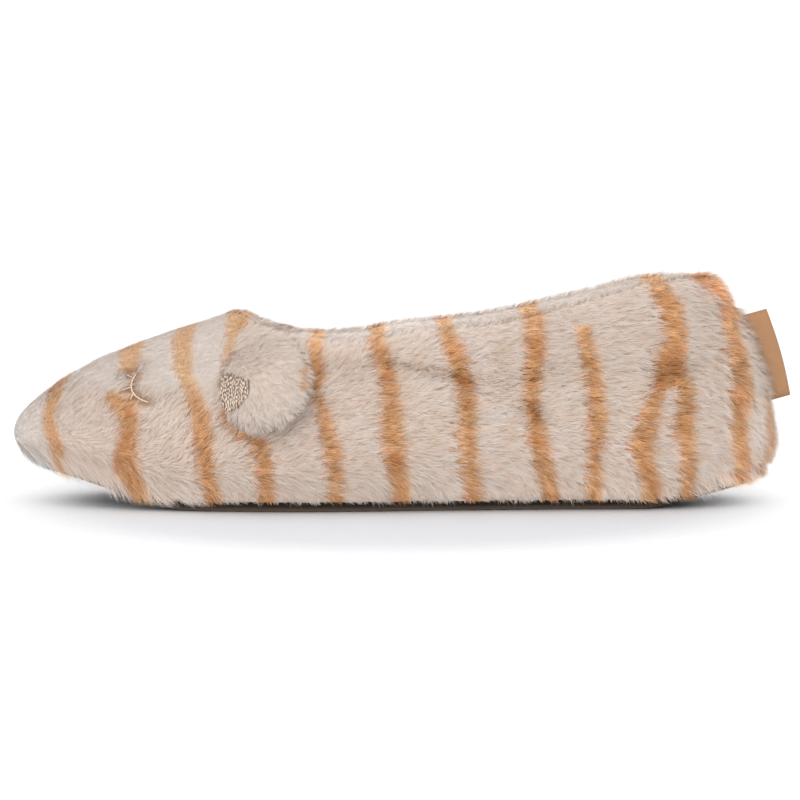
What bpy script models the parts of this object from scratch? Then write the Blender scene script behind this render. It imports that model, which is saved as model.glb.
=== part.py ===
"""Ballerina slipper of long plush with ears and a heel tag, a left shoe standing empty on its sole.

Metres, +Z up from the floor. The toe points to -X, the heel to +X, and -Y is the shoe's outer side.
"""

import math
import random
from collections import namedtuple

import bmesh
import bpy
from mathutils import Vector

MM = 0.001
UP = Vector((0, 0, 1))
OUTER = -1
INNER = 1

# Driving sizes, measured over the pile
LENGTH = 250 * MM
BALL_WIDTH = 96 * MM
INSTEP_HEIGHT = 66.2 * MM
COLLAR_DIP = 56.5 * MM
HEEL_HEIGHT = 76.5 * MM
WALL = 7 * MM
TOE_SPRING = 11 * MM
HEEL_SPRING = 6.6 * MM

# Fitting gaps and layers of the bottom
GAP = 0.3 * MM
SOLE_THICK = 4.5 * MM
SOLE_INSET = 4.8 * MM
SOLE_BEVEL = 1.0 * MM
SOLE_COLUMNS = 80
INSOLE_THICK = 3.5 * MM
INSOLE_INSET = 7.6 * MM
INSOLE_ROUND = 1.2 * MM
INSOLE_COLUMNS = 64
HEM_LIFT = 4.2 * MM
HEM_INSET = 4.2 * MM
HEM_DROP = 1.4 * MM

# Where the lines along the shoe start and end, as distances from the nose
FEATHER_TOE = 3.5 * MM
FEATHER_HEEL = 246 * MM
THROAT = 72 * MM
COLLAR_HEEL = 229 * MM
SPRING_TOE = 58 * MM
SPRING_HEEL = 205 * MM
SPRING_POWER = 1.5
BALL = 90 * MM
TOE_SWING = 5 * MM

# Locks of pile: columns run round the shoe, rows run up its wall
COLUMNS = 112
ROWS = 20
LOCK_COLUMNS = 3
LOCK_ROWS = 2
LOCK_STAND = 2 * MM
LOCK_DROOP = 1.6 * MM
LOCK_SEED = 11
NOSE_SHORT = 26 * MM

# Ears, placed by their middle as seen from the side
EAR_FROM_NOSE = 84 * MM
EAR_MIDDLE_HEIGHT = 40.5 * MM
EAR_LONG = 28.5 * MM
EAR_TALL = 30 * MM
EAR_THICK = 9 * MM
EAR_GAP = 0.6 * MM
EAR_LIFT = 4.5 * MM
EAR_HANG = math.radians(35)
EAR_SPOKES = 20
EAR_BARE = 1.1
EAR_FADE = 0.25

# Heel tag: a folded ribbon standing in the plane of the back seam
TAG_TOP = 62.2 * MM
TAG_BOTTOM = 34.2 * MM
TAG_TOP_REACH = 247 * MM
TAG_BOTTOM_REACH = 255 * MM
TAG_BOW = 0.8 * MM
TAG_SLANT = 0.08
TAG_PLY = 0.5 * MM
TAG_BETWEEN = 0.6 * MM
TAG_STATIONS = 8

# Edge of the wall over the sole, seen from above: distance along the shoe as a share of its length,
# half breadths on the outer and inner side as shares of half the ball width
Edge = namedtuple("Edge", "at outer inner")
FEATHER_LINE = [
    Edge(at=0.014, outer=0.00, inner=0.00),
    Edge(at=0.040, outer=0.30, inner=0.30),
    Edge(at=0.075, outer=0.48, inner=0.49),
    Edge(at=0.130, outer=0.66, inner=0.68),
    Edge(at=0.200, outer=0.79, inner=0.82),
    Edge(at=0.280, outer=0.86, inner=0.89),
    Edge(at=0.370, outer=0.89, inner=0.87),
    Edge(at=0.470, outer=0.85, inner=0.76),
    Edge(at=0.580, outer=0.77, inner=0.67),
    Edge(at=0.700, outer=0.71, inner=0.66),
    Edge(at=0.820, outer=0.68, inner=0.66),
    Edge(at=0.890, outer=0.58, inner=0.57),
    Edge(at=0.950, outer=0.38, inner=0.38),
    Edge(at=0.984, outer=0.00, inner=0.00),
]

# Collar from the throat round to the heel: height is measured at the top of its roll
Collar = namedtuple("Collar", "at half height")
COLLAR_LINE = [
    Collar(at=0.288, half=0.00, height=INSTEP_HEIGHT),
    Collar(at=0.304, half=0.27, height=INSTEP_HEIGHT - 1.0 * MM),
    Collar(at=0.340, half=0.47, height=INSTEP_HEIGHT - 5.8 * MM),
    Collar(at=0.400, half=0.61, height=COLLAR_DIP + 2.0 * MM),
    Collar(at=0.440, half=0.65, height=COLLAR_DIP + 2.2 * MM),
    Collar(at=0.520, half=0.69, height=COLLAR_DIP + 4.6 * MM),
    Collar(at=0.620, half=0.68, height=COLLAR_DIP + 6.3 * MM),
    Collar(at=0.720, half=0.65, height=COLLAR_DIP + 11.6 * MM),
    Collar(at=0.820, half=0.57, height=HEEL_HEIGHT - 1.9 * MM),
    Collar(at=0.880, half=0.38, height=HEEL_HEIGHT + 0.4 * MM),
    Collar(at=0.916, half=0.00, height=HEEL_HEIGHT + 1.6 * MM),
]

# Curve of the wall from feather line to collar, toe to heel: how far its two handles lean along the wall
# (share of the level distance), stand out (share of half the ball width) and rise or drop (share of height)
Profile = namedtuple("Profile", "turn low_along low_out low_rise high_along high_out high_drop")
WALL_CURVE = [
    Profile(turn=0.00, low_along=0.00, low_out=0.35, low_rise=0.27,
            high_along=0.68, high_out=0.00, high_drop=0.28),
    Profile(turn=0.10, low_along=0.00, low_out=0.39, low_rise=0.30,
            high_along=0.66, high_out=0.03, high_drop=0.24),
    Profile(turn=0.22, low_along=0.02, low_out=0.30, low_rise=0.37,
            high_along=0.52, high_out=0.08, high_drop=0.17),
    Profile(turn=0.38, low_along=0.05, low_out=0.24, low_rise=0.34,
            high_along=0.40, high_out=0.10, high_drop=0.22),
    Profile(turn=0.55, low_along=0.05, low_out=0.24, low_rise=0.30,
            high_along=0.33, high_out=0.10, high_drop=0.30),
    Profile(turn=0.75, low_along=0.00, low_out=0.26, low_rise=0.26,
            high_along=0.40, high_out=0.10, high_drop=0.30),
    Profile(turn=0.90, low_along=0.00, low_out=0.27, low_rise=0.19,
            high_along=0.50, high_out=0.10, high_drop=0.26),
    Profile(turn=1.00, low_along=0.00, low_out=0.25, low_rise=0.13,
            high_along=0.50, high_out=0.10, high_drop=0.25),
]


def clear_scene():
    for thing in list(bpy.data.objects):
        bpy.data.objects.remove(thing, do_unlink=True)


def smooth(at, knots, values):
    """Cubic curve through the knots, with the slope at each taken from its neighbours."""
    last = len(knots) - 1
    span = next((n for n in range(last) if at <= knots[n + 1]), last - 1)

    def slope(n):
        before, after = max(n - 1, 0), min(n + 1, last)
        return (values[after] - values[before]) / (knots[after] - knots[before])

    width = knots[span + 1] - knots[span]
    t = (at - knots[span]) / width
    start = values[span] * (1 + 2 * t) * (1 - t) ** 2 + slope(span) * width * t * (1 - t) ** 2
    end = values[span + 1] * t * t * (3 - 2 * t) - slope(span + 1) * width * t * t * (1 - t)
    return start + end


def eased(turn, start, end):
    """Distance from the nose at a turn from 0 at the toe to 1 at the heel, close-set at both ends."""
    return start + (end - start) * (1 - math.cos(math.pi * turn)) / 2


def turn_of(distance, start, end):
    share = min(max((distance - start) / (end - start), 0.0), 1.0)
    return math.acos(1 - 2 * share) / math.pi


def half_turn(turn):
    """A full turn runs 0 to 2: along the outer side to the heel, and back along the inner side."""
    turn %= 2.0
    if turn <= 1.0:
        return turn, OUTER
    return 2.0 - turn, INNER


def spring(distance):
    """Rise of the sole's underside off the floor at the toe and at the end of the heel."""
    toe = (SPRING_TOE - distance) / (SPRING_TOE - FEATHER_TOE)
    heel = (distance - SPRING_HEEL) / (FEATHER_HEEL - SPRING_HEEL)

    def bent(share):
        return math.sin(math.pi / 2 * min(1.0, max(0.0, share))) ** SPRING_POWER

    return TOE_SPRING * bent(toe) + HEEL_SPRING * bent(heel)


def swing(distance):
    """Sideways lean of the toe towards the inner side, from the ball forward."""
    return TOE_SWING * max(0.0, 1 - distance / BALL) ** 2


def from_nose(distance, y, z):
    return Vector((distance - LENGTH / 2, y, z))


def nose_distance(point):
    return point.x + LENGTH / 2


def feather(turn):
    """Lower outer edge of the pile, where the wall meets the sole."""
    half, side = half_turn(turn)
    distance = eased(half, FEATHER_TOE, FEATHER_HEEL)
    knots = [turn_of(row.at * LENGTH, FEATHER_TOE, FEATHER_HEEL) for row in FEATHER_LINE]
    breadths = [row.outer if side == OUTER else row.inner for row in FEATHER_LINE]
    breadth = smooth(half, knots, breadths) * BALL_WIDTH / 2
    return from_nose(distance, swing(distance) + side * breadth, spring(distance) + HEM_LIFT)


def collar(turn):
    """Outer edge of the collar, half a wall below the top of its roll."""
    half, side = half_turn(turn)
    distance = eased(half, THROAT, COLLAR_HEEL)
    knots = [turn_of(row.at * LENGTH, THROAT, COLLAR_HEEL) for row in COLLAR_LINE]
    breadth = smooth(half, knots, [row.half for row in COLLAR_LINE]) * BALL_WIDTH / 2
    height = smooth(half, knots, [row.height for row in COLLAR_LINE])
    return from_nose(distance, swing(distance) + side * breadth, height - WALL / 2)


def outward(turn):
    """Level direction out of the shoe, square to the feather line."""
    ahead = feather(turn + 0.01) - feather(turn - 0.01)
    return Vector((ahead.y, -ahead.x, 0)).normalized()


def wall_curve(turn):
    half, _ = half_turn(turn)
    knots = [row.turn for row in WALL_CURVE]
    return Profile(*(smooth(half, knots, column) for column in zip(*WALL_CURVE)))


def wall_point(turn, up):
    """Point on the outer face of the wall: up runs from 0 at the feather line to 1 at the collar."""
    low, high = feather(turn), collar(turn)
    curve = wall_curve(turn)
    level = Vector((high.x - low.x, high.y - low.y, 0))
    height = high.z - low.z
    out = outward(turn) * BALL_WIDTH / 2
    low_handle = low + level * curve.low_along + out * curve.low_out + UP * height * curve.low_rise
    high_handle = high - level * curve.high_along + out * curve.high_out - UP * height * curve.high_drop
    down = 1 - up
    return (low * down ** 3 + low_handle * 3 * down * down * up
            + high_handle * 3 * down * up * up + high * up ** 3)


def wall_directions(turn, up):
    """Outward normal of the wall, and the direction up along it."""
    step = 0.01
    low, high = max(up - step, 0.0), min(up + step, 1.0)
    rise = (wall_point(turn, high) - wall_point(turn, low)).normalized()
    along = wall_point(turn + step, up) - wall_point(turn - step, up)
    normal = along.cross(rise).normalized()
    return normal, normal.cross(along).normalized()


def wall_spot(distance, height, side):
    """Turn and up of the wall's outer face at a distance from the nose and a height off the floor."""
    turn, up = (0.3, 0.5) if side == OUTER else (1.7, 0.5)
    step = 1e-4
    for _ in range(20):
        here = wall_point(turn, up)
        by_turn = (wall_point(turn + step, up) - here) / step
        by_up = (wall_point(turn, up + step) - here) / step
        miss_x, miss_z = distance - nose_distance(here), height - here.z
        scale = by_turn.x * by_up.z - by_up.x * by_turn.z
        turn += (miss_x * by_up.z - miss_z * by_up.x) / scale
        up = min(max(up + (miss_z * by_turn.x - miss_x * by_turn.z) / scale, 0.02), 0.98)
    return turn, up


def ear_share(point):
    """Distance from the middle of the ear as seen from the side, as a share of its outline."""
    along = (nose_distance(point) - EAR_FROM_NOSE) / (EAR_LONG / 2)
    above = (point.z - EAR_MIDDLE_HEIGHT) / (EAR_TALL / 2)
    return math.hypot(along, above)


def lock_stands():
    """How far the pile stands out at each column and row: locks lap towards the heel like shingles."""
    chance = random.Random(LOCK_SEED)
    lengths = {}
    stands = {}
    for column in range(COLUMNS):
        from_toe = min(column, COLUMNS - column)
        for row in range(ROWS + 1):
            tier = row // LOCK_ROWS
            place = from_toe + tier * 2
            lock = (place // LOCK_COLUMNS, tier, column > COLUMNS // 2)
            if lock not in lengths:
                lengths[lock] = chance.uniform(0.45, 1.0)
            lap = (place % LOCK_COLUMNS + 0.4) / LOCK_COLUMNS
            ridge = 1.0 if row % LOCK_ROWS else 0.35
            fade = min(1.0, 4 * row / ROWS, 4 * (ROWS - row) / ROWS)
            stands[column, row] = LOCK_STAND * lengths[lock] * lap * ridge * fade
    return stands


def inset_point(turn, inset, height):
    """Point a level distance inside the feather line, at a height above the sole's underside there."""
    point = feather(turn) - outward(turn) * inset
    point.z = spring(nose_distance(point)) + height
    return point


def turns(count):
    return [2.0 * n / count for n in range(count)]


def new_loop(bm, points):
    return [bm.verts.new(point) for point in points]


def join_loops(bm, lower, upper):
    count = len(lower)
    for n in range(count):
        after = (n + 1) % count
        bm.faces.new((lower[n], lower[after], upper[after], upper[n]))


def close_across(bm, loop, facing_up):
    """Fill a loop with faces that run straight across from its outer to its inner side."""
    count = len(loop)
    for n in range(count // 2):
        face = [loop[n], loop[n + 1], loop[count - n - 1], loop[(count - n) % count]]
        corners = list(dict.fromkeys(face))
        bm.faces.new(corners if facing_up else corners[::-1])


def material(name, colour, roughness):
    made = bpy.data.materials.new(name)
    made.use_nodes = True
    shader = made.node_tree.nodes["Principled BSDF"]
    shader.inputs["Base Color"].default_value = (*colour, 1)
    shader.inputs["Roughness"].default_value = roughness
    shader.inputs["Metallic"].default_value = 0
    made.diffuse_color = (*colour, 1)
    return made


def add_piece(name, bm, finish, parent):
    mesh = bpy.data.meshes.new(name)
    bm.to_mesh(mesh)
    bm.free()
    mesh.shade_smooth()
    mesh.set_sharp_from_angle(angle=math.radians(50))
    mesh.materials.append(finish)
    piece = bpy.data.objects.new(name, mesh)
    bpy.context.scene.collection.objects.link(piece)
    piece.parent = parent
    return piece


def upper_mesh():
    """One closed shell: outer pile face, roll of the collar, inner face, and hem over the sole."""
    bm = bmesh.new()
    around = turns(COLUMNS)
    stands = lock_stands()
    loops = []

    for row in range(ROWS + 1):
        up = row / ROWS
        points = []
        for column, turn in enumerate(around):
            point = wall_point(turn, up)
            normal, _ = wall_directions(turn, up)
            clear_of_ear = min(max((ear_share(point) - EAR_BARE) / EAR_FADE, 0.0), 1.0)
            clear_of_seam = min(abs(column - COLUMNS // 2) / 2, 1.0)
            clear_of_nose = min(max(nose_distance(point) / NOSE_SHORT, 0.0), 1.0)
            stand = stands[column, row] * clear_of_ear * clear_of_seam * clear_of_nose
            points.append(point + normal * stand)
        loops.append(points)

    roll_steps = 4
    for step in range(1, roll_steps):
        angle = math.pi * step / roll_steps
        points = []
        for turn in around:
            normal, rise = wall_directions(turn, 1.0)
            middle = wall_point(turn, 1.0) - normal * WALL / 2
            points.append(middle + (normal * math.cos(angle) + rise * math.sin(angle)) * WALL / 2)
        loops.append(points)

    inner_rows = 7
    for row in range(inner_rows, -1, -1):
        up = row / inner_rows
        points = []
        for turn in around:
            normal, _ = wall_directions(turn, up)
            points.append(wall_point(turn, up) - normal * WALL)
        loops.append(points)

    over_sole = SOLE_THICK + GAP
    loops.append([inset_point(turn, HEM_INSET + 2 * MM, over_sole) for turn in around])
    loops.append([inset_point(turn, HEM_INSET, over_sole) for turn in around])
    loops.append([inset_point(turn, HEM_INSET, over_sole - HEM_DROP) for turn in around])
    droops = [LOCK_DROOP * (0.3 if column % 2 else 1.0) for column in range(COLUMNS)]
    loops.append([inset_point(turn, HEM_INSET / 2, HEM_LIFT - droop) for turn, droop in zip(around, droops)])

    rings = [new_loop(bm, points) for points in loops]
    for lower, upper in zip(rings, rings[1:] + rings[:1]):
        join_loops(bm, lower, upper)
    return bm


def sole_mesh():
    """Soft sole with a rounded lower edge, flat on the floor from ball to heel."""
    bm = bmesh.new()
    around = turns(SOLE_COLUMNS)
    edge = [
        (SOLE_INSET + SOLE_BEVEL, 0.0),
        (SOLE_INSET + 0.3 * SOLE_BEVEL, 0.3 * SOLE_BEVEL),
        (SOLE_INSET, SOLE_BEVEL),
        (SOLE_INSET, SOLE_THICK - 0.7 * SOLE_BEVEL),
        (SOLE_INSET + 0.7 * SOLE_BEVEL, SOLE_THICK),
    ]
    rings = [new_loop(bm, [inset_point(turn, *step) for turn in around]) for step in edge]
    close_across(bm, rings[0], facing_up=False)
    for lower, upper in zip(rings, rings[1:]):
        join_loops(bm, lower, upper)
    close_across(bm, rings[-1], facing_up=True)
    return bm


def insole_mesh():
    """Padded sock on the sole, rounded along its upper edge."""
    bm = bmesh.new()
    around = turns(INSOLE_COLUMNS)
    base = SOLE_THICK + GAP
    edge = [
        (INSOLE_INSET, base),
        (INSOLE_INSET, base + INSOLE_THICK - INSOLE_ROUND),
        (INSOLE_INSET + 0.35 * INSOLE_ROUND, base + INSOLE_THICK - 0.35 * INSOLE_ROUND),
        (INSOLE_INSET + INSOLE_ROUND, base + INSOLE_THICK),
    ]
    rings = [new_loop(bm, [inset_point(turn, *step) for turn in around]) for step in edge]
    close_across(bm, rings[0], facing_up=False)
    for lower, upper in zip(rings, rings[1:]):
        join_loops(bm, lower, upper)
    close_across(bm, rings[-1], facing_up=True)
    return bm


def ear_mesh(side):
    """Stuffed flap over the wall: close to it at the front and top, lifted along its free lower edge."""
    bm = bmesh.new()
    shares = [0.4, 0.72, 0.92]

    def ear_point(share, angle, face):
        along, above = share * math.cos(angle), share * math.sin(angle)
        turn, up = wall_spot(EAR_FROM_NOSE + along * EAR_LONG / 2,
                             EAR_MIDDLE_HEIGHT + above * EAR_TALL / 2, side)
        normal, _ = wall_directions(turn, up)
        free = (1 + along * math.cos(EAR_HANG) - above * math.sin(EAR_HANG)) / 2
        gap = EAR_GAP + EAR_LIFT * free * free
        middle = gap + EAR_THICK * (0.25 + 0.25 * free)
        puff = (1 - share ** 3) ** 0.5
        reach = gap + EAR_THICK - middle if face > 0 else middle - gap
        return wall_point(turn, up) + normal * (middle + face * reach * puff)

    angles = [2 * math.pi * n / EAR_SPOKES for n in range(EAR_SPOKES)]
    inner_pole = bm.verts.new(ear_point(0.0, 0.0, -1))
    rings = [new_loop(bm, [ear_point(share, angle, -1) for angle in angles]) for share in shares]
    rings.append(new_loop(bm, [ear_point(1.0, angle, 0) for angle in angles]))
    rings += [new_loop(bm, [ear_point(share, angle, 1) for angle in angles]) for share in reversed(shares)]
    outer_pole = bm.verts.new(ear_point(0.0, 0.0, 1))
    for lower, upper in zip(rings, rings[1:]):
        join_loops(bm, lower, upper)
    for n in range(EAR_SPOKES):
        after = (n + 1) % EAR_SPOKES
        bm.faces.new((inner_pole, rings[0][after], rings[0][n]))
        bm.faces.new((rings[-1][n], rings[-1][after], outer_pole))
    bmesh.ops.recalc_face_normals(bm, faces=bm.faces)
    return bm


def tag_mesh():
    """Ribbon folded once, both ends at the back seam and the fold outwards."""
    bm = bmesh.new()
    outside = TAG_BETWEEN / 2 + TAG_PLY
    inside = TAG_BETWEEN / 2
    fold_steps = 6

    def heel_reach(height):
        up = min((n / 200 for n in range(201)), key=lambda share: abs(wall_point(1.0, share).z - height))
        return nose_distance(wall_point(1.0, up)) + GAP

    rings = []
    for station in range(TAG_STATIONS + 1):
        share = station / TAG_STATIONS
        height = TAG_BOTTOM + (TAG_TOP - TAG_BOTTOM) * share
        start = heel_reach(height)
        bow = TAG_BOW * math.sin(math.pi * share)
        fold = TAG_BOTTOM_REACH + (TAG_TOP_REACH - TAG_BOTTOM_REACH) * share + bow - outside
        outline = [(start, -outside)]
        for step in range(fold_steps + 1):
            angle = math.pi * (step / fold_steps - 0.5)
            outline.append((fold + outside * math.cos(angle), outside * math.sin(angle)))
        outline += [(start, outside), (start, inside)]
        for step in range(fold_steps, -1, -1):
            angle = math.pi * (step / fold_steps - 0.5)
            outline.append((fold + inside * math.cos(angle), inside * math.sin(angle)))
        outline.append((start, -inside))
        rings.append(new_loop(bm, [from_nose(x, y, height + TAG_SLANT * (x - start)) for x, y in outline]))
    for lower, upper in zip(rings, rings[1:]):
        join_loops(bm, lower, upper)
    half = len(rings[0]) // 2
    for ring in (rings[0], rings[-1]):
        for n in range(half - 1):
            bm.faces.new((ring[n], ring[n + 1], ring[-n - 2], ring[-n - 1]))
    bmesh.ops.recalc_face_normals(bm, faces=bm.faces)
    return bm


clear_scene()
slipper = bpy.data.objects.new("slipper", None)
bpy.context.scene.collection.objects.link(slipper)

plush = material("cream_plush", (0.66, 0.53, 0.44), 0.95)
ear_plush = material("ear_plush", (0.68, 0.56, 0.48), 0.95)
sole_felt = material("dark_sole", (0.05, 0.035, 0.025), 0.9)
sock = material("cream_sock", (0.70, 0.60, 0.52), 0.95)
ribbon = material("tan_ribbon", (0.43, 0.24, 0.12), 0.6)

add_piece("outsole", sole_mesh(), sole_felt, slipper)
add_piece("insole", insole_mesh(), sock, slipper)
add_piece("upper", upper_mesh(), plush, slipper)
add_piece("ear_outer_side", ear_mesh(OUTER), ear_plush, slipper)
add_piece("ear_inner_side", ear_mesh(INNER), ear_plush, slipper)
add_piece("heel_tag", tag_mesh(), ribbon, slipper)
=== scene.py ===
"""Looks of a ballerina slipper in striped plush, with an animal's face at the toe and a tag at the heel.

Metres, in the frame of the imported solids: toe to -X, heel to +X, outer side to -Y, floor at z = 0.
"""

import math

import bmesh
import bpy
import numpy as np
from mathutils import Matrix, Vector, noise
from mathutils.bvhtree import BVHTree
from mathutils.kdtree import KDTree


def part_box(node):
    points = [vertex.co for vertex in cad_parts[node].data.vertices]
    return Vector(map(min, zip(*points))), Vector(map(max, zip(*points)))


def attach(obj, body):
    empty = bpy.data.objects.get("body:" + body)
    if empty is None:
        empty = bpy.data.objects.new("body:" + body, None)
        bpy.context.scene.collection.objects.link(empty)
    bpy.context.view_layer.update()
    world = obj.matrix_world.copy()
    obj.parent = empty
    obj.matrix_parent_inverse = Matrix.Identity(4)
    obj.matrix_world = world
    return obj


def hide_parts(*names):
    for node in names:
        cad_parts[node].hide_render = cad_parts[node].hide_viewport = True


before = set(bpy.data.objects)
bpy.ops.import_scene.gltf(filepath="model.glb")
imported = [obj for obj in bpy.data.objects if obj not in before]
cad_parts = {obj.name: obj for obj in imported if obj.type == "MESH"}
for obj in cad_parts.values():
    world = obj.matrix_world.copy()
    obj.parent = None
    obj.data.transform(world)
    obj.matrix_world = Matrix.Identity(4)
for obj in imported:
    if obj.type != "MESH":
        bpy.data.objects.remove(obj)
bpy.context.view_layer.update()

# Outsole: a thin soft sole of dark felt, cut to the outline of the last and glued under the upper, with
# rubber dots on its underside for grip. The solid has its true form, so it stays and gets its felt here.
MM = 0.001
# The felt's dark brown is partly painted shade from the fringe above it; its lowest 1.8 mm are painted a
# lighter brown as painted light thrown up onto its side from the floor
SOLE_BROWN = (0.030, 0.021, 0.016, 1)
SOLE_BROWN_FLOOR_LIT = (0.160, 0.115, 0.088, 1)
SOLE_FLOOR_LIT_UP_TO = 1.8 * MM
SOLE_UNDERSIDE = -0.6
DOT_BLACK = (0.012, 0.011, 0.010, 1)
DOT_SPACING = 5 * MM
DOT_RADIUS = 0.24


def new_material(name):
    """A new material with its node tree and its Principled shader."""
    material = bpy.data.materials.new(name)
    material.use_nodes = True
    return material, material.node_tree, material.node_tree.nodes["Principled BSDF"]


def set_inputs(tree, node, inputs):
    """Give a shader node its inputs, each a value or an output of another node to link."""
    for key, value in inputs.items():
        if isinstance(value, bpy.types.NodeSocket):
            tree.links.new(value, node.inputs[key])
        else:
            node.inputs[key].default_value = value


def add_node(tree, kind, inputs=None, **settings):
    """A new shader node with its settings and its inputs."""
    made = tree.nodes.new(kind)
    for key, value in settings.items():
        setattr(made, key, value)
    set_inputs(tree, made, inputs or {})
    return made


def mixed(tree, share, first, second, clamped=True):
    """Output of a colour mix from first, at share 0, to second, at share 1, and past it if not clamped."""
    mix = add_node(tree, "ShaderNodeMix", {0: share, 6: first, 7: second}, data_type="RGBA",
                   clamp_factor=clamped)
    return mix.outputs[2]


sole_felt, tree, shader = new_material("sole_felt")
place = add_node(tree, "ShaderNodeTexCoord").outputs["Object"]
fibres = add_node(tree, "ShaderNodeTexNoise", {"Vector": place, "Scale": 900, "Detail": 6, "Roughness": 0.7})
height = add_node(tree, "ShaderNodeSeparateXYZ", {"Vector": place}).outputs["Z"]
# Painted light: from the floor up, the felt goes from the lighter floor-lit brown to its shaded dark brown
floor_lit = add_node(tree, "ShaderNodeMapRange", {"Value": height, "From Min": 0.0, "From Max": SOLE_FLOOR_LIT_UP_TO,
                                             "To Min": 1.0, "To Max": 0.0})
felt = mixed(tree, floor_lit.outputs[0], SOLE_BROWN, SOLE_BROWN_FLOOR_LIT)
dots = add_node(tree, "ShaderNodeTexVoronoi",
                {"Vector": place, "Scale": 1 / DOT_SPACING, "Randomness": 0.0}, voronoi_dimensions="2D")
dot = add_node(tree, "ShaderNodeMath", {0: dots.outputs["Distance"], 1: DOT_RADIUS}, operation="LESS_THAN")
facing = add_node(tree, "ShaderNodeNewGeometry").outputs["Normal"]
facing = add_node(tree, "ShaderNodeSeparateXYZ", {"Vector": facing}).outputs["Z"]
under = add_node(tree, "ShaderNodeMath", {0: facing, 1: SOLE_UNDERSIDE}, operation="LESS_THAN")
rubber = add_node(tree, "ShaderNodeMath", {0: dot.outputs[0], 1: under.outputs[0]}, operation="MULTIPLY")
grain = add_node(tree, "ShaderNodeMath", {0: rubber.outputs[0], 1: fibres.outputs["Fac"]},
                 operation="MAXIMUM")
bump = add_node(tree, "ShaderNodeBump", {"Height": grain.outputs[0], "Strength": 0.6, "Distance": 0.6 * MM})
set_inputs(tree, shader, {"Base Color": mixed(tree, rubber.outputs[0], felt, DOT_BLACK),
                          "Normal": bump.outputs["Normal"], "Roughness": 0.92, "Specular IOR Level": 0.2})
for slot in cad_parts["outsole"].material_slots:
    slot.material = sole_felt

# Insole: a padded sock of cream fleece over foam, laid on the sole inside the upper and stuck down. The
# foam crowns along the middle, the edge presses on the wall, and the fleece is a short dense nap.
SOCK_CROWN = 1.0 * MM
SOCK_TUCK = 0.6 * MM
SOCK_REACH = 6 * MM
SOCK_FACING = 0.3
MERGED_WITHIN = 0.01 * MM
QUAD_BEND = math.radians(40)
QUAD_SKEW = math.radians(60)
FLEECE_CREAM = (0.80, 0.70, 0.61, 1)
FLEECE_SHADE = (0.62, 0.52, 0.44, 1)


def solid_copy(node_name):
    """A solid's faces as one joined mesh: its loose triangles merged and paired into quads."""
    bm = bmesh.new()
    bm.from_mesh(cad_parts[node_name].data)
    bmesh.ops.remove_doubles(bm, verts=bm.verts, dist=MERGED_WITHIN)
    bmesh.ops.join_triangles(bm, faces=bm.faces, angle_face_threshold=QUAD_BEND,
                             angle_shape_threshold=QUAD_SKEW)
    bm.normal_update()
    return bm


def carried(name, mesh):
    """A piece that shows a mesh and rides on the shoe."""
    piece = bpy.data.objects.new(name, mesh)
    bpy.context.scene.collection.objects.link(piece)
    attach(piece, "root")
    return piece


def new_piece(name, bm, material):
    """A finished piece from a mesh in the making: smooth, in its material, riding on the shoe."""
    mesh = bpy.data.meshes.new(name)
    bm.to_mesh(mesh)
    bm.free()
    mesh.shade_smooth()
    mesh.materials.append(material)
    return carried(name, mesh)


def rounded_off(piece, levels):
    """Subdivide a piece for good, so that later pieces can be laid on its final surface."""
    smoothing = piece.modifiers.new("rounding", "SUBSURF")
    smoothing.levels = levels
    smoothing.render_levels = levels
    settled = piece.evaluated_get(bpy.context.evaluated_depsgraph_get())
    mesh = bpy.data.meshes.new_from_object(settled)
    piece.modifiers.clear()
    piece.data = mesh
    return mesh


def ray_target(mesh):
    """A mesh as a surface that rays can meet."""
    corners = [face.vertices for face in mesh.polygons]
    return BVHTree.FromPolygons([vert.co for vert in mesh.vertices], corners)


fleece_grain = bpy.data.node_groups.new("fleece_grain", "ShaderNodeTree")
fleece_grain.interface.new_socket("Colour", in_out="OUTPUT", socket_type="NodeSocketColor")
fleece_grain.interface.new_socket("Height", in_out="OUTPUT", socket_type="NodeSocketFloat")
place = add_node(fleece_grain, "ShaderNodeTexCoord").outputs["Object"]
curls = add_node(fleece_grain, "ShaderNodeTexVoronoi", {"Vector": place, "Scale": 420, "Randomness": 1.0},
                 feature="SMOOTH_F1")
tufts = add_node(fleece_grain, "ShaderNodeTexNoise",
                 {"Vector": place, "Scale": 300, "Detail": 5, "Roughness": 0.65, "Distortion": 1.2})
height = add_node(fleece_grain, "ShaderNodeMath",
                  {0: tufts.outputs["Fac"], 1: curls.outputs["Distance"]}, operation="SUBTRACT")
tone = add_node(fleece_grain, "ShaderNodeMapRange",
                {"Value": height.outputs[0], "From Min": -0.3, "From Max": 0.35})
colour = mixed(fleece_grain, tone.outputs[0], FLEECE_SHADE, FLEECE_CREAM)
add_node(fleece_grain, "NodeGroupOutput", {"Colour": colour, "Height": height.outputs[0]})

fleece, tree, shader = new_material("cream_fleece")
grain = add_node(tree, "ShaderNodeGroup", node_tree=fleece_grain)
bump = add_node(tree, "ShaderNodeBump",
                {"Height": grain.outputs["Height"], "Strength": 0.8, "Distance": 1.2 * MM})
set_inputs(tree, shader, {"Base Color": grain.outputs["Colour"], "Normal": bump.outputs["Normal"],
                          "Roughness": 0.95, "Specular IOR Level": 0.15, "Sheen Weight": 0.25})

bm = solid_copy("insole")
low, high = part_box("insole")
half_breadth = (high.y - low.y) / 2
inner_wall = ray_target(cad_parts["upper"].data)
for vert in bm.verts:
    if vert.normal.z > SOCK_FACING:
        across = (vert.co.y - (low.y + high.y) / 2) / half_breadth
        vert.co.z += SOCK_CROWN * max(0.0, 1 - across * across) - SOCK_CROWN / 2
    outward = Vector((vert.normal.x, vert.normal.y, 0))
    if outward.length > SOCK_FACING:
        gap = inner_wall.ray_cast(vert.co, outward.normalized(), SOCK_REACH)[3]
        vert.co += outward.normalized() * ((gap or 0.0) + SOCK_TUCK)
sock = new_piece("insole_sock", bm, fleece)
rounded_off(sock, 1)
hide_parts("insole")

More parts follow.
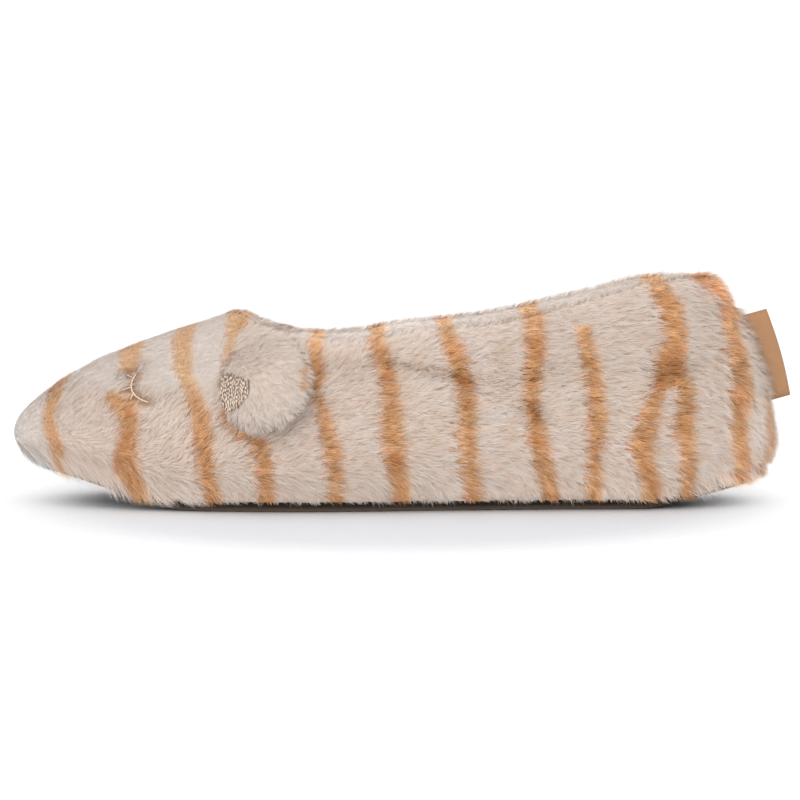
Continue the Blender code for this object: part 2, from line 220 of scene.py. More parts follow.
# Plush cloth: cream pile printed with wavy ochre bands before the cloth is cut, from the hem over the vamp
# and round the heel. Each row of a band gives its height, middle along the shoe and half width, in mm.
STRIPES = {
    "nose": [(12, -110, 1.2), (15, -110, 1.8), (19, -109, 2.6), (24, -111, 2.4), (29, -112, 2.2),
             (34, -111, 2.4), (38, -110, 2.4), (43, -107, 2.0)],
    "eye": [(8, -83, 3.4), (13, -86, 4.6), (18, -86, 4.0), (23, -85, 3.1), (30, -85, 3.4), (35, -88, 5.0),
            (37, -91, 2.0), (39, -90, -1.0), (43, -86, -1.0), (44, -86, 2.2), (46, -86, 3.3), (51, -86, 4.0),
            (55, -84, 2.5)],
    "brow": [(7, -58, 2.7), (15, -60, 2.9), (23, -61, 3.0), (31, -62, 3.2), (39, -65, 2.4), (45, -68, 2.9),
             (53, -69, 3.2), (60, -67, 3.2)],
    "throat": [(6, -41, 2.7), (12, -41, 2.7), (18, -42, 3.0), (22.5, -43, 3.2), (24, -46, 4.5),
               (25.5, -49, 2.4), (28, -52.5, 1.3), (31, -53.6, 1.9), (35, -53.6, 1.4), (46, -54, 1.3),
               (55, -53, 1.6), (59, -51, 3.5), (66, -51, 3.7)],
    "behind_ear": [(5, -19, 2.4), (12, -19, 2.4), (21, -20, 2.9), (29, -22, 2.4), (39, -25, 1.3),
                   (42, -24, 2.1), (53, -25.6, 2.2), (59, -28.4, 1.8)],
    "waist": [(3, 2, 2.9), (8, 2, 2.9), (18, 0, 3.5), (27, -1, 4.1), (34, -1, 3.2), (42, -2, 2.9),
              (49, -4, 2.7), (55, -6, 2.9), (61, -6, 3.0)],
    "arch": [(6, 25, 2.6), (15, 24, 2.9), (24, 23, 2.9), (34, 23, 3.2), (42, 22, 3.2), (49, 20, 3.4),
             (56, 17, 2.6), (64, 15, 2.6)],
    "quarter": [(5, 50, 2.9), (15, 48, 3.0), (24, 46, 3.0), (33, 44, 2.6), (40, 44, 2.9), (50, 45, 3.2),
                (59, 45, 3.2), (69, 44, 2.7)],
    "short": [(8, 64, 2.4), (20, 64, 2.2), (29, 65, 3.2), (40, 64, 2.7), (50, 62, 2.9), (60, 60, 2.1)],
    "fork_front": [(9, 82, 3.2), (16, 80, 3.2), (22, 79, 4.3), (27, 80, 3.7), (33, 82, 2.9), (38, 84, 2.2),
                   (41, 87, 4.5), (44, 88, 5.2), (50, 88, 4.6), (55, 90, 3.2), (65, 88, 3.8), (69, 86, 3.6),
                   (72, 85, 3.2), (77, 83, 2.4)],
    "fork_back": [(6, 94, 2.2), (16, 94, 2.6), (22, 93, 2.8), (27, 92, 3.6), (33, 93, 3.0), (38, 93, 3.0),
                  (41, 92, 3.2), (44, 91, 2.5)],
    "counter": [(12, 112, 2.6), (16, 111, 2.7), (22, 110, 2.5), (29, 110, 2.6), (35, 111, 3.8),
                (40, 111, 3.2), (47, 110, 2.9), (55, 108, 2.7), (65, 107, 3.0), (69, 104, 3.6),
                (73, 100.5, 4.2), (78, 98.5, 4.2)],
}
STOPS_AT_TOP = ("short", "fork_back")
STRIPE_BLUR = 1.6

# The band on each side of the back seam: the middle of each row is its distance from the seam
BACK_BAND = [(8, 9.0, 1.8), (14, 9.4, 3.0), (27, 9.6, 3.4), (33, 9.2, 2.4), (37, 8.8, 0.6)]
BACK_BAND_FROM = 104 * MM
BACK_BAND_SHARE = 0.75

CREAM_ROOT = (0.87, 0.68, 0.54, 1)
CREAM_TIP = (0.93, 0.87, 0.825, 1)
OCHRE_ROOT = (0.60, 0.228, 0.066, 1)
OCHRE_TIP = (1.0, 0.68, 0.375, 1)


def band_share(points, rows, stops_at_top):
    """Share of ochre at each point that one band gives, from 0 in the cream to 1 inside the band."""
    along, height = points[:, 0] / MM, points[:, 2] / MM
    heights, middles, halves = np.array(rows, float).T
    off = np.abs(along - np.interp(height, heights, middles))
    inside = (np.interp(height, heights, halves) - off) / STRIPE_BLUR + 0.5
    if stops_at_top:
        inside = np.minimum(inside, (heights[-1] - height) / STRIPE_BLUR)
    return np.clip(inside, 0, 1)


def stripe_share(points):
    """Share of ochre at each point of the upper, from the bands along it and those beside the back seam."""
    shares = [band_share(points, rows, name in STOPS_AT_TOP) for name, rows in STRIPES.items()]
    from_seam = np.abs(points[:, [1, 0, 2]])
    shares.append(BACK_BAND_SHARE * band_share(from_seam, BACK_BAND, True) * (points[:, 0] > BACK_BAND_FROM))
    return np.max(shares, axis=0)


plush_colour = bpy.data.node_groups.new("plush_colour", "ShaderNodeTree")
for name in ("Stripe", "Along", "Shade"):
    plush_colour.interface.new_socket(name, in_out="INPUT", socket_type="NodeSocketFloat")
plush_colour.interface.new_socket("Colour", in_out="OUTPUT", socket_type="NodeSocketColor")
given = add_node(plush_colour, "NodeGroupInput")
cream = mixed(plush_colour, given.outputs["Along"], CREAM_ROOT, CREAM_TIP, clamped=False)
ochre = mixed(plush_colour, given.outputs["Along"], OCHRE_ROOT, OCHRE_TIP)
dyed = mixed(plush_colour, given.outputs["Stripe"], cream, ochre)
toned = add_node(plush_colour, "ShaderNodeVectorMath", {0: dyed, "Scale": given.outputs["Shade"]},
                 operation="SCALE")
add_node(plush_colour, "NodeGroupOutput", {"Colour": toned.outputs[0]})

plush, tree, shader = new_material("striped_plush")
strand = add_node(tree, "ShaderNodeAttribute", attribute_name="strand")
strand = add_node(tree, "ShaderNodeSeparateXYZ", {"Vector": strand.outputs["Vector"]})
colour = add_node(tree, "ShaderNodeGroup", {"Stripe": strand.outputs["X"], "Along": strand.outputs["Y"],
                                            "Shade": strand.outputs["Z"]}, node_tree=plush_colour)
set_inputs(tree, shader, {"Base Color": colour.outputs["Colour"], "Roughness": 0.8,
                          "Specular IOR Level": 0.2, "Sheen Weight": 0.25, "Sheen Roughness": 0.5})

# Upper: the plush's knitted backing, with a fleece lining inside, sewn up the back and turned over at the
# collar. Under the pile the backing lies a little below the solid's face, with soft troughs at the creases.
BACKING_SINK = 2.6 * MM
SINK_LESS_SLEEK = 0.6
SINK_LESS_RIM = 0.3
SINK_LESS_CROWN = 0.5
SINK_LESS_NOSE = 0.9
LOCK_SMOOTHING = 5
LUMP = 0.5 * MM
LUMP_SIZE = 17 * MM
SPINE_REACH = 95 * MM
SPINE_HEIGHT = 30 * MM
OUTSIDE_FACING = 0.12
HEM_UNDERSIDE = -0.75
VAMP_FACING = 0.8
THROAT_X = -53 * MM
HEEL_RIM_X = 104 * MM
LINE_STEP = 6 * MM
RIM_BAND = 9 * MM
NOSE_SHORT = 50 * MM
NOSE_TIP = 14 * MM
CROWN_REACH = 9 * MM
VAMP_BACK = -45 * MM
VAMP_FRONT = -62 * MM
VAMP_LOW = 27 * MM
VAMP_HIGH = 42 * MM

# The bare cloth between the hairs is painted darker and less pale than them, as the shade down among their
# roots: how pale and how light it is, and how that changes in a hollow, where more shade is painted, and
# under short pile
CLOTH_PALE = 0.4
CLOTH_PALE_SHORT = 0.6
CLOTH_SHADE = 0.8
CLOTH_SHADE_HOLLOW = 0.4
CLOTH_SHADE_SHORT = 0.05

# Soft creases of the wall, the same on both sides: ends as along and height, half width and depth, in mm
CREASES = [
    dict(start=(-24, 45), end=(-3, 47), half_width=4.0, depth=0.7),
    dict(start=(-3, 47), end=(23, 42), half_width=2.4, depth=2.0),
    dict(start=(23, 42), end=(52, 44), half_width=4.0, depth=0.7),
    dict(start=(41, 33), end=(45, 30), half_width=2.8, depth=2.0),
    dict(start=(83, 44), end=(93, 46), half_width=4.0, depth=1.6),
    dict(start=(-80, 35), end=(-72, 37), half_width=2.4, depth=0.6),
    dict(start=(-90, 42.6), end=(-84, 44), half_width=1.4, depth=1.4),
    dict(start=(-82, 46), end=(-85, 40), half_width=2.2, depth=1.0),
    dict(start=(-85, 40), end=(-80, 35), half_width=2.2, depth=1.0),
]


def read_all(items, field, width, kind=float):
    """One field of all the items of a mesh, in rows of a given width."""
    values = np.empty(len(items) * width, kind)
    items.foreach_get(field, values)
    return values.reshape(-1, width)


def ramp(values, start, end):
    """From 0 where a value is at the start to 1 where it is at the end, and level beyond both."""
    return np.clip((values - start) / (end - start), 0, 1)


def facing_outside(points, normals):
    """How far each normal looks away from a spine through the inside of the shoe."""
    spine = np.zeros_like(points)
    spine[:, 0] = np.clip(points[:, 0], -SPINE_REACH, SPINE_REACH)
    spine[:, 2] = SPINE_HEIGHT
    away = points - spine
    return np.einsum("ij,ij->i", normals, away) / np.linalg.norm(away, axis=1)


def crease_depth(points):
    """Depth of the soft creases at points of the wall."""
    deepest = np.zeros(len(points))
    side_view = points[:, [0, 2]]
    for crease in CREASES:
        start = np.array(crease["start"]) * MM
        run = np.array(crease["end"]) * MM - start
        along = np.clip((side_view - start) @ run / (run @ run), 0, 1)
        off = np.linalg.norm(side_view - start - along[:, None] * run, axis=1) / (crease["half_width"] * MM)
        deepest = np.maximum(deepest, crease["depth"] * MM * np.exp(-off ** 2))
    return deepest


bm = solid_copy("upper")
wall = np.array([vert.co for vert in bm.verts])
nose_x, heel_x = wall[:, 0].min(), wall[:, 0].max()
rim_stations = np.arange(THROAT_X, HEEL_RIM_X, LINE_STEP)
rim_heights = [wall[np.abs(wall[:, 0] - at) < LINE_STEP, 2].max() for at in rim_stations]
hem_stations = np.arange(nose_x + LINE_STEP, heel_x - LINE_STEP / 2, LINE_STEP)
hem_heights = [wall[np.abs(wall[:, 0] - at) < LINE_STEP, 2].min() for at in hem_stations]


def below_rim(points):
    """Distance from the collar's edge down the wall, or forward over the vamp."""
    drop = np.interp(points[:, 0], rim_stations, rim_heights) - points[:, 2]
    return np.maximum(drop, 0) + np.maximum(THROAT_X - points[:, 0], 0)


def rim_share(points):
    """From 1 at the collar's edge, where the pile is short and upright, to 0 below it."""
    return ramp(below_rim(points), RIM_BAND, 0)


def sleek_share(points):
    """From 1 at the nose and over the vamp, where the pile is clipped short, to 0 behind and below them."""
    nose = 1 - (points[:, 0] - nose_x) / NOSE_SHORT
    vamp = ramp(points[:, 0], VAMP_BACK, VAMP_FRONT) * (points[:, 2] - VAMP_LOW) / (VAMP_HIGH - VAMP_LOW)
    return np.clip(np.maximum(nose, vamp), 0, 1)


def nose_tip_share(points):
    """From 1 at the very tip of the nose to 0 behind it."""
    return ramp(points[:, 0], nose_x + NOSE_TIP, nose_x)


outside = facing_outside(wall, np.array([vert.normal for vert in bm.verts]))
outer_wall = [vert for vert, out in zip(bm.verts, outside)
              if out > OUTSIDE_FACING and vert.normal.z > HEM_UNDERSIDE]
with_locks = [vert for vert in outer_wall
              if vert.co.x > nose_x + NOSE_SHORT / 2 and vert.normal.z < VAMP_FACING]
for _ in range(LOCK_SMOOTHING):
    bmesh.ops.smooth_vert(bm, verts=with_locks, factor=0.5,
                          use_axis_x=True, use_axis_y=True, use_axis_z=True)
bm.normal_update()
wall = np.array([vert.co for vert in outer_wall])
crown = np.exp(-((wall[:, 0] - THROAT_X) / CROWN_REACH) ** 2)
sink = BACKING_SINK * (1 - SINK_LESS_SLEEK * sleek_share(wall))
sink *= 1 - (SINK_LESS_RIM + SINK_LESS_CROWN * crown) * rim_share(wall)
sink *= 1 - SINK_LESS_NOSE * nose_tip_share(wall)
sink += crease_depth(wall)
for vert, depth in zip(outer_wall, sink):
    vert.co -= vert.normal * (depth - LUMP * noise.noise(vert.co / LUMP_SIZE))
backing = new_piece("upper_cloth", bm, plush)
backing_mesh = rounded_off(backing, 1)
backing_mesh.materials.append(fleece)
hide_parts("upper")


def bare_cloth(mesh, stripes, hollow, short):
    """The colour facts of a backing that shows between its hairs: its ochre, how pale it is and its shade.

    It is painted darker and less pale than the hairs, as the shade between them, darker still in a hollow,
    from 0 to 1, as painted shade, and nearly as pale as the pile where that is short, from 0 to 1.
    """
    pale = CLOTH_PALE * (1 - hollow) + CLOTH_PALE_SHORT * short
    shade = CLOTH_SHADE - CLOTH_SHADE_HOLLOW * hollow + CLOTH_SHADE_SHORT * short
    facts = np.stack([stripes, pale, shade], axis=1)
    mesh.attributes.new("strand", "FLOAT_VECTOR", "POINT").data.foreach_set("vector", facts.ravel())


centres = read_all(backing_mesh.polygons, "center", 3)
facings = read_all(backing_mesh.polygons, "normal", 3)
lined = (facing_outside(centres, facings) < 0.0) & (below_rim(centres) > RIM_BAND)
backing_mesh.polygons.foreach_set("material_index", lined.astype(np.int32))
backing_surface = ray_target(backing_mesh)

# Eyes: a closed lid with three lashes on each side of the toe, each line one pass of shiny cream thread
# twisted from two plies, sewn through the backing so that the pile parts around it. Points in mm.
SIDES = ((-1, "outer_side"), (1, "inner_side"))
EYE_LID = [(-83.3, 42.8), (-84.4, 41.1), (-84.8, 39.5), (-84.4, 37.8), (-83.1, 36.3), (-81.2, 35.3),
           (-79.2, 34.7)]
EYE_LASHES = [
    [(-84.4, 41.6), (-85.4, 42.0), (-86.3, 42.3)],
    [(-84.8, 38.9), (-86.3, 38.4), (-87.6, 37.9)],
    [(-84.0, 37.0), (-84.5, 36.1), (-84.8, 35.3)],
]
LASH_THINNER = 0.7
EYE_STEP = 0.15 * MM
EYE_FEWEST_STEPS = 8
EYE_SMOOTHING = 12
EYE_LIFT = 1.0 * MM
EYE_NEAR = 15 * MM
EYE_POINT_EVERY = 4
EYE_HOLLOW = 1.9 * MM
PLY_RADIUS = 0.12 * MM
PLY_OFFSET = 0.11 * MM
PLY_PITCH = 1.5 * MM
EYE_THREAD = (0.86, 0.75, 0.63, 1)
FAR_OUT = 0.2


def drawn_line(points):
    """A soft line through a few points of the side view, in metres, with even small steps."""
    points = np.array(points) * MM
    run = np.concatenate([[0], np.cumsum(np.linalg.norm(np.diff(points, axis=0), axis=1))])
    steps = np.linspace(0, run[-1], max(EYE_FEWEST_STEPS, int(run[-1] / EYE_STEP)))
    line = np.stack([np.interp(steps, run, points[:, axis]) for axis in (0, 1)], axis=1)
    for _ in range(EYE_SMOOTHING):
        line[1:-1] = (line[:-2] + 2 * line[1:-1] + line[2:]) / 4
    return line


def seen_from_side(surface, place, side):
    """Where a level ray from far out on one side, -1 or 1, meets a surface at a place of the side view."""
    return surface.ray_cast(Vector((place[0], side * FAR_OUT, place[1])), Vector((0, -side, 0)))[:2]


eye_thread, tree, shader = new_material("eye_thread")
set_inputs(tree, shader, {"Base Color": EYE_THREAD, "Roughness": 0.35, "Specular IOR Level": 0.6})

eye_lines = [drawn_line(line) for line in [EYE_LID] + EYE_LASHES]


def eye_gap(points):
    """Distance of each point from the nearest line of an eye, as seen from the side."""
    stitched = np.concatenate(eye_lines)[::EYE_POINT_EVERY]
    gap = np.full(len(points), FAR_OUT)
    near = np.linalg.norm(points[:, [0, 2]] - stitched.mean(axis=0), axis=1) < EYE_NEAR
    gap[near] = np.linalg.norm(points[near][:, None, [0, 2]] - stitched, axis=2).min(axis=1)
    return gap


def eye_hollow(points):
    """From 1 on the lines of an eye, where the thread pulls the cloth in, to 0 away from them."""
    return ramp(eye_gap(points), EYE_HOLLOW, 0)


for side, side_name in SIDES:
    name = "eye_" + side_name
    curve = bpy.data.curves.new(name, "CURVE")
    curve.dimensions = "3D"
    curve.bevel_depth = PLY_RADIUS
    curve.bevel_resolution = 1
    curve.use_fill_caps = True
    for order, line in enumerate(eye_lines):
        thinner = LASH_THINNER if order else 1.0
        laid = [seen_from_side(backing_surface, place, side) for place in line]
        for ply in (0, math.pi):
            spline = curve.splines.new("POLY")
            spline.points.add(len(laid) - 1)
            for number, (place, normal) in enumerate(laid):
                phase = ply + 2 * math.pi * number * EYE_STEP / PLY_PITCH
                ahead = laid[min(number + 1, len(laid) - 1)][0] - laid[max(number - 1, 0)][0]
                across = normal.cross(ahead).normalized()
                wound = across * math.cos(phase) + normal * math.sin(phase)
                spline.points[number].co = (*(place + normal * EYE_LIFT + wound * PLY_OFFSET * thinner), 1)
                spline.points[number].radius = thinner
    drawn = bpy.data.objects.new(name + "_drawn", curve)
    mesh = bpy.data.meshes.new_from_object(drawn)
    bpy.data.objects.remove(drawn)
    mesh.name = name
    mesh.materials.clear()
    mesh.materials.append(eye_thread)
    mesh.shade_smooth()
    carried(name, mesh)

places = read_all(backing_mesh.vertices, "co", 3)
# Painted shade: the backing is darkened in the creases and round the eyes
hollows = np.maximum(eye_hollow(places), np.clip(crease_depth(places) / MM, 0, 1))
short_pile = np.maximum(sleek_share(places), rim_share(places)) * (1 - hollows)
# Painted shade: round the eyes the cloth takes the ochre's dark colour as brown shade
bare_cloth(backing_mesh, np.maximum(stripe_share(places), eye_hollow(places)), hollows, short_pile)

# Ears: two round flaps of the same plush, lightly stuffed, sewn to the upper along their front and top
# edge so that the lower back edge stands free. A thin ochre line shows near the free edge.
EAR_SHRINK = 1.7 * MM
EAR_TOP_DROP = 2.2 * MM
EAR_BACK_REACH = 2.0 * MM
EAR_FRONT_REACH = 1.6 * MM
EAR_FRONT_DROP = 5.0 * MM
EAR_EDGE_LIFT = 1.0 * MM
EAR_SEWN_TOWARDS = (-1.0, 0.9)
EAR_BAND = [(39.5, -29.5, 0.9), (49.5, -28.9, 0.9)]
EAR_BAND_SHARE = 0.9
ear_low, ear_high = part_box("ear_outer_side")
ear_middle = (ear_low + ear_high) / 2
ear_half = (ear_high - ear_low) / 2


def ear_spot(along, height):
    """Place on an ear in the side view: back and up from its middle, 1 at the outline."""
    return (along - ear_middle.x) / ear_half.x, (height - ear_middle.z) / ear_half.z


def ear_stripe(points):
    """Share of ochre at each point of an ear, in one short faint line."""
    band_low = EAR_BAND[0][0]
    within = ramp(points[:, 2] / MM, band_low, band_low + STRIPE_BLUR)
    return EAR_BAND_SHARE * within * band_share(points, EAR_BAND, True)


ear_meshes = {}
ear_surfaces = {}
for side, side_name in SIDES:
    name = "ear_" + side_name
    bm = solid_copy(name)
    for vert in bm.verts:
        vert.co -= vert.normal * EAR_SHRINK
        back, up = ear_spot(vert.co.x, vert.co.z)
        sewn = min(1.0, max(0.0, back * EAR_SEWN_TOWARDS[0] + up * EAR_SEWN_TOWARDS[1])) ** 2
        vert.co.x += EAR_BACK_REACH * max(0.0, back) + EAR_FRONT_REACH * min(0.0, back)
        vert.co.z -= EAR_TOP_DROP * max(0.0, up) ** 2
        vert.co.z -= EAR_FRONT_DROP * max(0.0, -back) * max(0.0, -up)
        place, facing = seen_from_side(backing_surface, (vert.co.x, vert.co.z), side)
        if place is not None:
            vert.co.y += (place.y + facing.y * EAR_EDGE_LIFT - vert.co.y) * sewn
    pad = new_piece(name + "_pad", bm, plush)
    ear_meshes[side] = rounded_off(pad, 2)
    ear_surfaces[side] = ray_target(ear_meshes[side])
    places = read_all(ear_meshes[side].vertices, "co", 3)
    bare_cloth(ear_meshes[side], ear_stripe(places), np.zeros(len(places)), np.zeros(len(places)))
    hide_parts(name)

# Heart patches: half a heart of satin stitch at the front of each ear, where the ear's seam hides the other
# half. A brown underlay is covered by short pale gold stitches, laid upright in rows like bricks, except
# along the top edge, where the brown is left bare as the painted shadow of the fur above.
PATCH_OUTLINE = [(-54.4, 44.2), (-51.0, 43.9), (-46.6, 43.2), (-45.9, 41.3), (-46.4, 38.2), (-48.8, 35.5),
                 (-51.3, 33.5), (-55.7, 33.3), (-55.9, 35.8), (-55.2, 41.3)]
PATCH_SHADOWED_TOP = 0.9 * MM
PATCH_LIFT = 1.1 * MM
STITCH_THICK = 0.2 * MM
STITCH_WANDER = 0.12 * MM
STITCH_LEAN = 0.08
STITCH_LENGTHS = (0.8, 1.15)
THREAD_BROWN = (0.20, 0.115, 0.07, 1)
THREAD_GOLD = (0.96, 0.80, 0.665, 1)
UNDERLAY = dict(lift=-0.2 * MM, column=0.36 * MM, row=1.6 * MM, wide=0.24 * MM, long=1.2 * MM,
                shades=(0.0, 0.2))
TOP_STITCH = dict(lift=0.0, column=0.40 * MM, row=1.25 * MM, wide=0.15 * MM, long=0.70 * MM,
                  shades=(0.85, 1.0))
TINY = 1e-12


def inside_patch(points, grown=1.0):
    """True for points of the side view inside the patch's outline, grown about its middle by a factor."""
    outline = np.array(PATCH_OUTLINE) * MM
    outline = outline.mean(axis=0) + (outline - outline.mean(axis=0)) * grown
    crossings = np.zeros(len(points), int)
    for (from_x, from_z), (to_x, to_z) in zip(outline, np.roll(outline, -1, axis=0)):
        spans = (from_z > points[:, 1]) != (to_z > points[:, 1])
        meets = from_x + (points[:, 1] - from_z) * (to_x - from_x) / (to_z - from_z + TINY)
        crossings += spans & (points[:, 0] < meets)
    return crossings % 2 == 1


gold_thread, tree, shader = new_material("gold_thread")
strand = add_node(tree, "ShaderNodeAttribute", attribute_name="strand")
shade = add_node(tree, "ShaderNodeSeparateXYZ", {"Vector": strand.outputs["Vector"]}).outputs["Z"]
set_inputs(tree, shader, {"Base Color": mixed(tree, shade, THREAD_BROWN, THREAD_GOLD), "Roughness": 0.38,
                          "Specular IOR Level": 0.5})

chance = np.random.default_rng(11)
patch_low = np.array(PATCH_OUTLINE).min(axis=0) * MM
patch_high = np.array(PATCH_OUTLINE).max(axis=0) * MM
for side, side_name in SIDES:
    bm = bmesh.new()
    strand = bm.verts.layers.float_vector.new("strand")
    for layer in (UNDERLAY, TOP_STITCH):
        for along in np.arange(patch_low[0], patch_high[0], layer["column"]):
            start = patch_low[1] - layer["row"] * chance.random()
            heights = np.arange(start, patch_high[1], layer["row"])
            spots = np.stack([np.full(len(heights), along), heights], axis=1)
            spots = spots + chance.normal(0, STITCH_WANDER, spots.shape)
            covered = inside_patch(spots)
            # Painted shadow: the gold stitches stop short of the top edge, so the dark underlay shows there
            if layer is TOP_STITCH:
                covered &= inside_patch(spots + np.array((0, PATCH_SHADOWED_TOP)))
            for spot in spots[covered]:
                place, normal = seen_from_side(ear_surfaces[side], spot, side)
                if place is None:
                    continue
                upright = normal.cross(Vector((side, 0, chance.normal(0, STITCH_LEAN)))).normalized()
                turned = Matrix((upright.cross(normal), upright, normal)).transposed().to_4x4()
                length = layer["long"] * chance.uniform(*STITCH_LENGTHS)
                sized = Matrix.Diagonal((layer["wide"], length, STITCH_THICK, 1))
                at = Matrix.Translation(place + normal * (PATCH_LIFT + layer["lift"]))
                made = bmesh.ops.create_uvsphere(bm, u_segments=6, v_segments=4, radius=1,
                                                 matrix=at @ turned @ sized)
                shade = chance.uniform(*layer["shades"])
                for vert in made["verts"]:
                    vert[strand] = (0, 0, shade)
    new_piece("heart_patch_" + side_name, bm, gold_thread)

# Pile: soft acrylic hairs about 5 mm long, standing out of the backing and combed to the heel, shorter on
# the nose, vamp and collar and hanging over the sole at the hem. They gather into small locks.
PILE_PIECES = ("pile_toe", "pile_ball", "pile_waist", "pile_quarter", "pile_heel")
HAIR_COUNT = 262000
HAIR_LENGTH = 4.2 * MM
HAIR_LENGTHS = (0.75, 1.1)
HAIR_SHORTEST = 1.0 * MM
HAIR_LOWEST = 1.0 * MM
HAIR_RISE = 2.8 * MM
HAIR_RISES = (0.7, 1.15)
HAIR_WIDTH = 0.15 * MM
HAIR_WIDTHS = (0.8, 1.2)
HAIR_TURN = 0.2
HAIR_ROLL = 0.4
HAIR_TILT = 0.2
ELBOW_UP = 0.8
ELBOW_OUT = 0.3
WIDEST_BEND = -0.2
RING_PLACES = (0.0, 0.45, 1.0)
RING_WIDTHS = (1.0, 0.8, 0.0)
RING_POINTS = (2, 2, 1)
HAIR_POINTS = 5
HAIR_FACES = (0, 1, 3, 2, 2, 3, 4)
HAIR_FACE_STARTS = (0, 4)
CHART_ACROSS = (0.1, 0.9, 0.1, 0.9, 0.5)
CHART_MARGIN = 0.05
CHART_COLUMNS_PER_ROW = 4
LOCK_COUNT = 24000
LOCK_WIDTH = 1.4 * MM
LOCK_TURN = 0.26
LOCK_SWIRL = 0.4
LOCK_SWIRL_SIZE = 22 * MM
LOCK_LENGTHS = (0.75, 1.15)
LOCK_RISES = (0.8, 1.15)
LOCK_PULL = 0.22
LOCK_PULL_HEM = 0.35
LOCK_POINTED = 0.45

# How steeply the pile rises as it runs back, along the shoe in mm: it sweeps up the vamp and down the heel
COMB_ALONG = (-125, -115, -75, -40, 0, 40, 90, 118, 125)
COMB_RISE = (1.50, 0.20, 0.60, 0.38, 0.12, -0.06, -0.20, -0.60, -1.60)
COMB_JITTER = 0.05
HEM_BACK_LESS = 0.4
HEM_BACK_LESS_TOE = 0.4
HEM_HANG = 14 * MM
HEM_LONGER = 0.5
EAR_SEAM_PULL = 1.2
EAR_SEAM_REACH = 4 * MM
EAR_SEAM_LEAST = 0.2
EAR_SEAM_FROM = 1.25
EAR_COVERS = 0.85
EAR_SEAM_TOWARDS = (0.75, 0, -0.65)
EAR_SEAM_ROUND = 0.3
SIDE_FROM = 25 * MM

# How far above the wall's lower edge the longest hairs of the fringe end, along the shoe, both in mm: they
# hide the sole where it lifts off the floor at the toe and the heel
FRINGE_ALONG = (-125, -120, -116, -112, -97, -95, -90, -82, -77, -72, -55, 70, 90, 98, 104, 112, 118, 125)
FRINGE_LIFT = (-2.0, -4.0, -5.6, -5.6, -5.6, -7.6, -8.0, -6.8, -5.0, -3.0, 0.0, -0.2, -2.4, -4.6, -3.2,
               -2.7, -1.5, 0.6)
FRINGE_ROOTS = 0.6
FRINGE_ROOTS_TOE = 0.4
FRINGE_MINGLED = 0.6
FRINGE_RAGGED = 3.2 * MM
FRINGE_POINTED = 1.4 * MM
FRINGE_NEATER = 0.8
FRINGE_LEAST_DOWN = 0.3
FRINGE_SHORTEST = 0.5 * MM
FRINGE_LONGEST = 11 * MM
FRINGE_UNEVEN = 0.25
FRINGE_UNEVEN_NEAT = 0.10
FRINGE_FLATTER = 0.6

# The places at which the pile changes: where each begins and where it is full, or how far it reaches
TOE_ALONG = (-75 * MM, -93 * MM)
HEEL_ALONG = (92 * MM, 100 * MM)
NEAT_HEEL_ALONG = (104 * MM, 114 * MM)
HEEL_TOP_ALONG = (97 * MM, 102 * MM)
HEEL_TOP_HEIGHT = (64 * MM, 71 * MM)
HEEL_TOP_RIM = 0.25
HEEL_LOW_HEIGHT = (27 * MM, 17 * MM)
HEEL_LOW_ACROSS = (28 * MM, 8 * MM)
TAG_FUR = 9 * MM
TAG_FUR_LOW = 36 * MM
TAG_FUR_TOP = 63 * MM
CROWN_WIDTH = 6 * MM
TURNED_IN_FACING = (0.3, -0.2)
CREASE_PARTS = 2.2 * MM
EYE_CLEAR = 0.6 * MM
EYE_TRIMMED = 3.0 * MM
PATCH_CLEAR = 0.95
PATCH_CLEAR_TIPS = 0.8

# What each place takes from the turn, the length and the rise of its hairs, and how much higher tufts stand
CALMER = dict(rim=0.6, sleek=0.8)
SHORTER = dict(rim=0.65, sleek=0.5, trimmed=0.4, parted=0.3, nose=0.35)
FLATTER = dict(rim=0.5, sleek=0.75, trimmed=0.4, hem=0.3, nose=0.6, turned_in=0.7)
TUFTS = dict(tag=4.0 * MM, heel_top=3.4 * MM, crown=1.3 * MM, heel_low=3.4 * MM, ear_seam=0.8 * MM)
TUFT_HEIGHTS = (0.5, 1)

# Painted shade and painted light: what each place takes from the light of its hairs or adds to it, and
# how much paler it makes them
# Painted shade: hairs in the creases, round the eyes and on the vamp's top are darkened
DARKER = dict(parted=0.15, hollow=0.45, vamp=0.26)
# Painted light: the collar, its inside, the fur beside the tag, the heel's back and top corner and the print
# high on the wall are painted lighter, and the nose tip a little darker
LIGHTER = (dict(nose=-0.11, rim=0.05, turned_in=0.12, tag=0.16, rim_back=0.2),
           dict(heel_back=0.12, heel_top=0.5),
           dict(high_print=0.1))
# Painted light: hairs on the nose, vamp, collar, inside the collar and beside the tag are made paler
PALER = (dict(sleek=1.3, nose=1.0), dict(rim=1.4, turned_in=1.4, tag=1.0))
# Painted shade on the vamp: how much darker its hairs are painted, by how far they face up
VAMP_SHADE_FACING = (-0.2, 0.5, 0.75, 1.0)
VAMP_SHADE = (0, 0.7, 0.6, 0.25)
HEEL_BACK_GAIN = 1.5
HIGH_PRINT_HEIGHT = (45 * MM, 55 * MM)
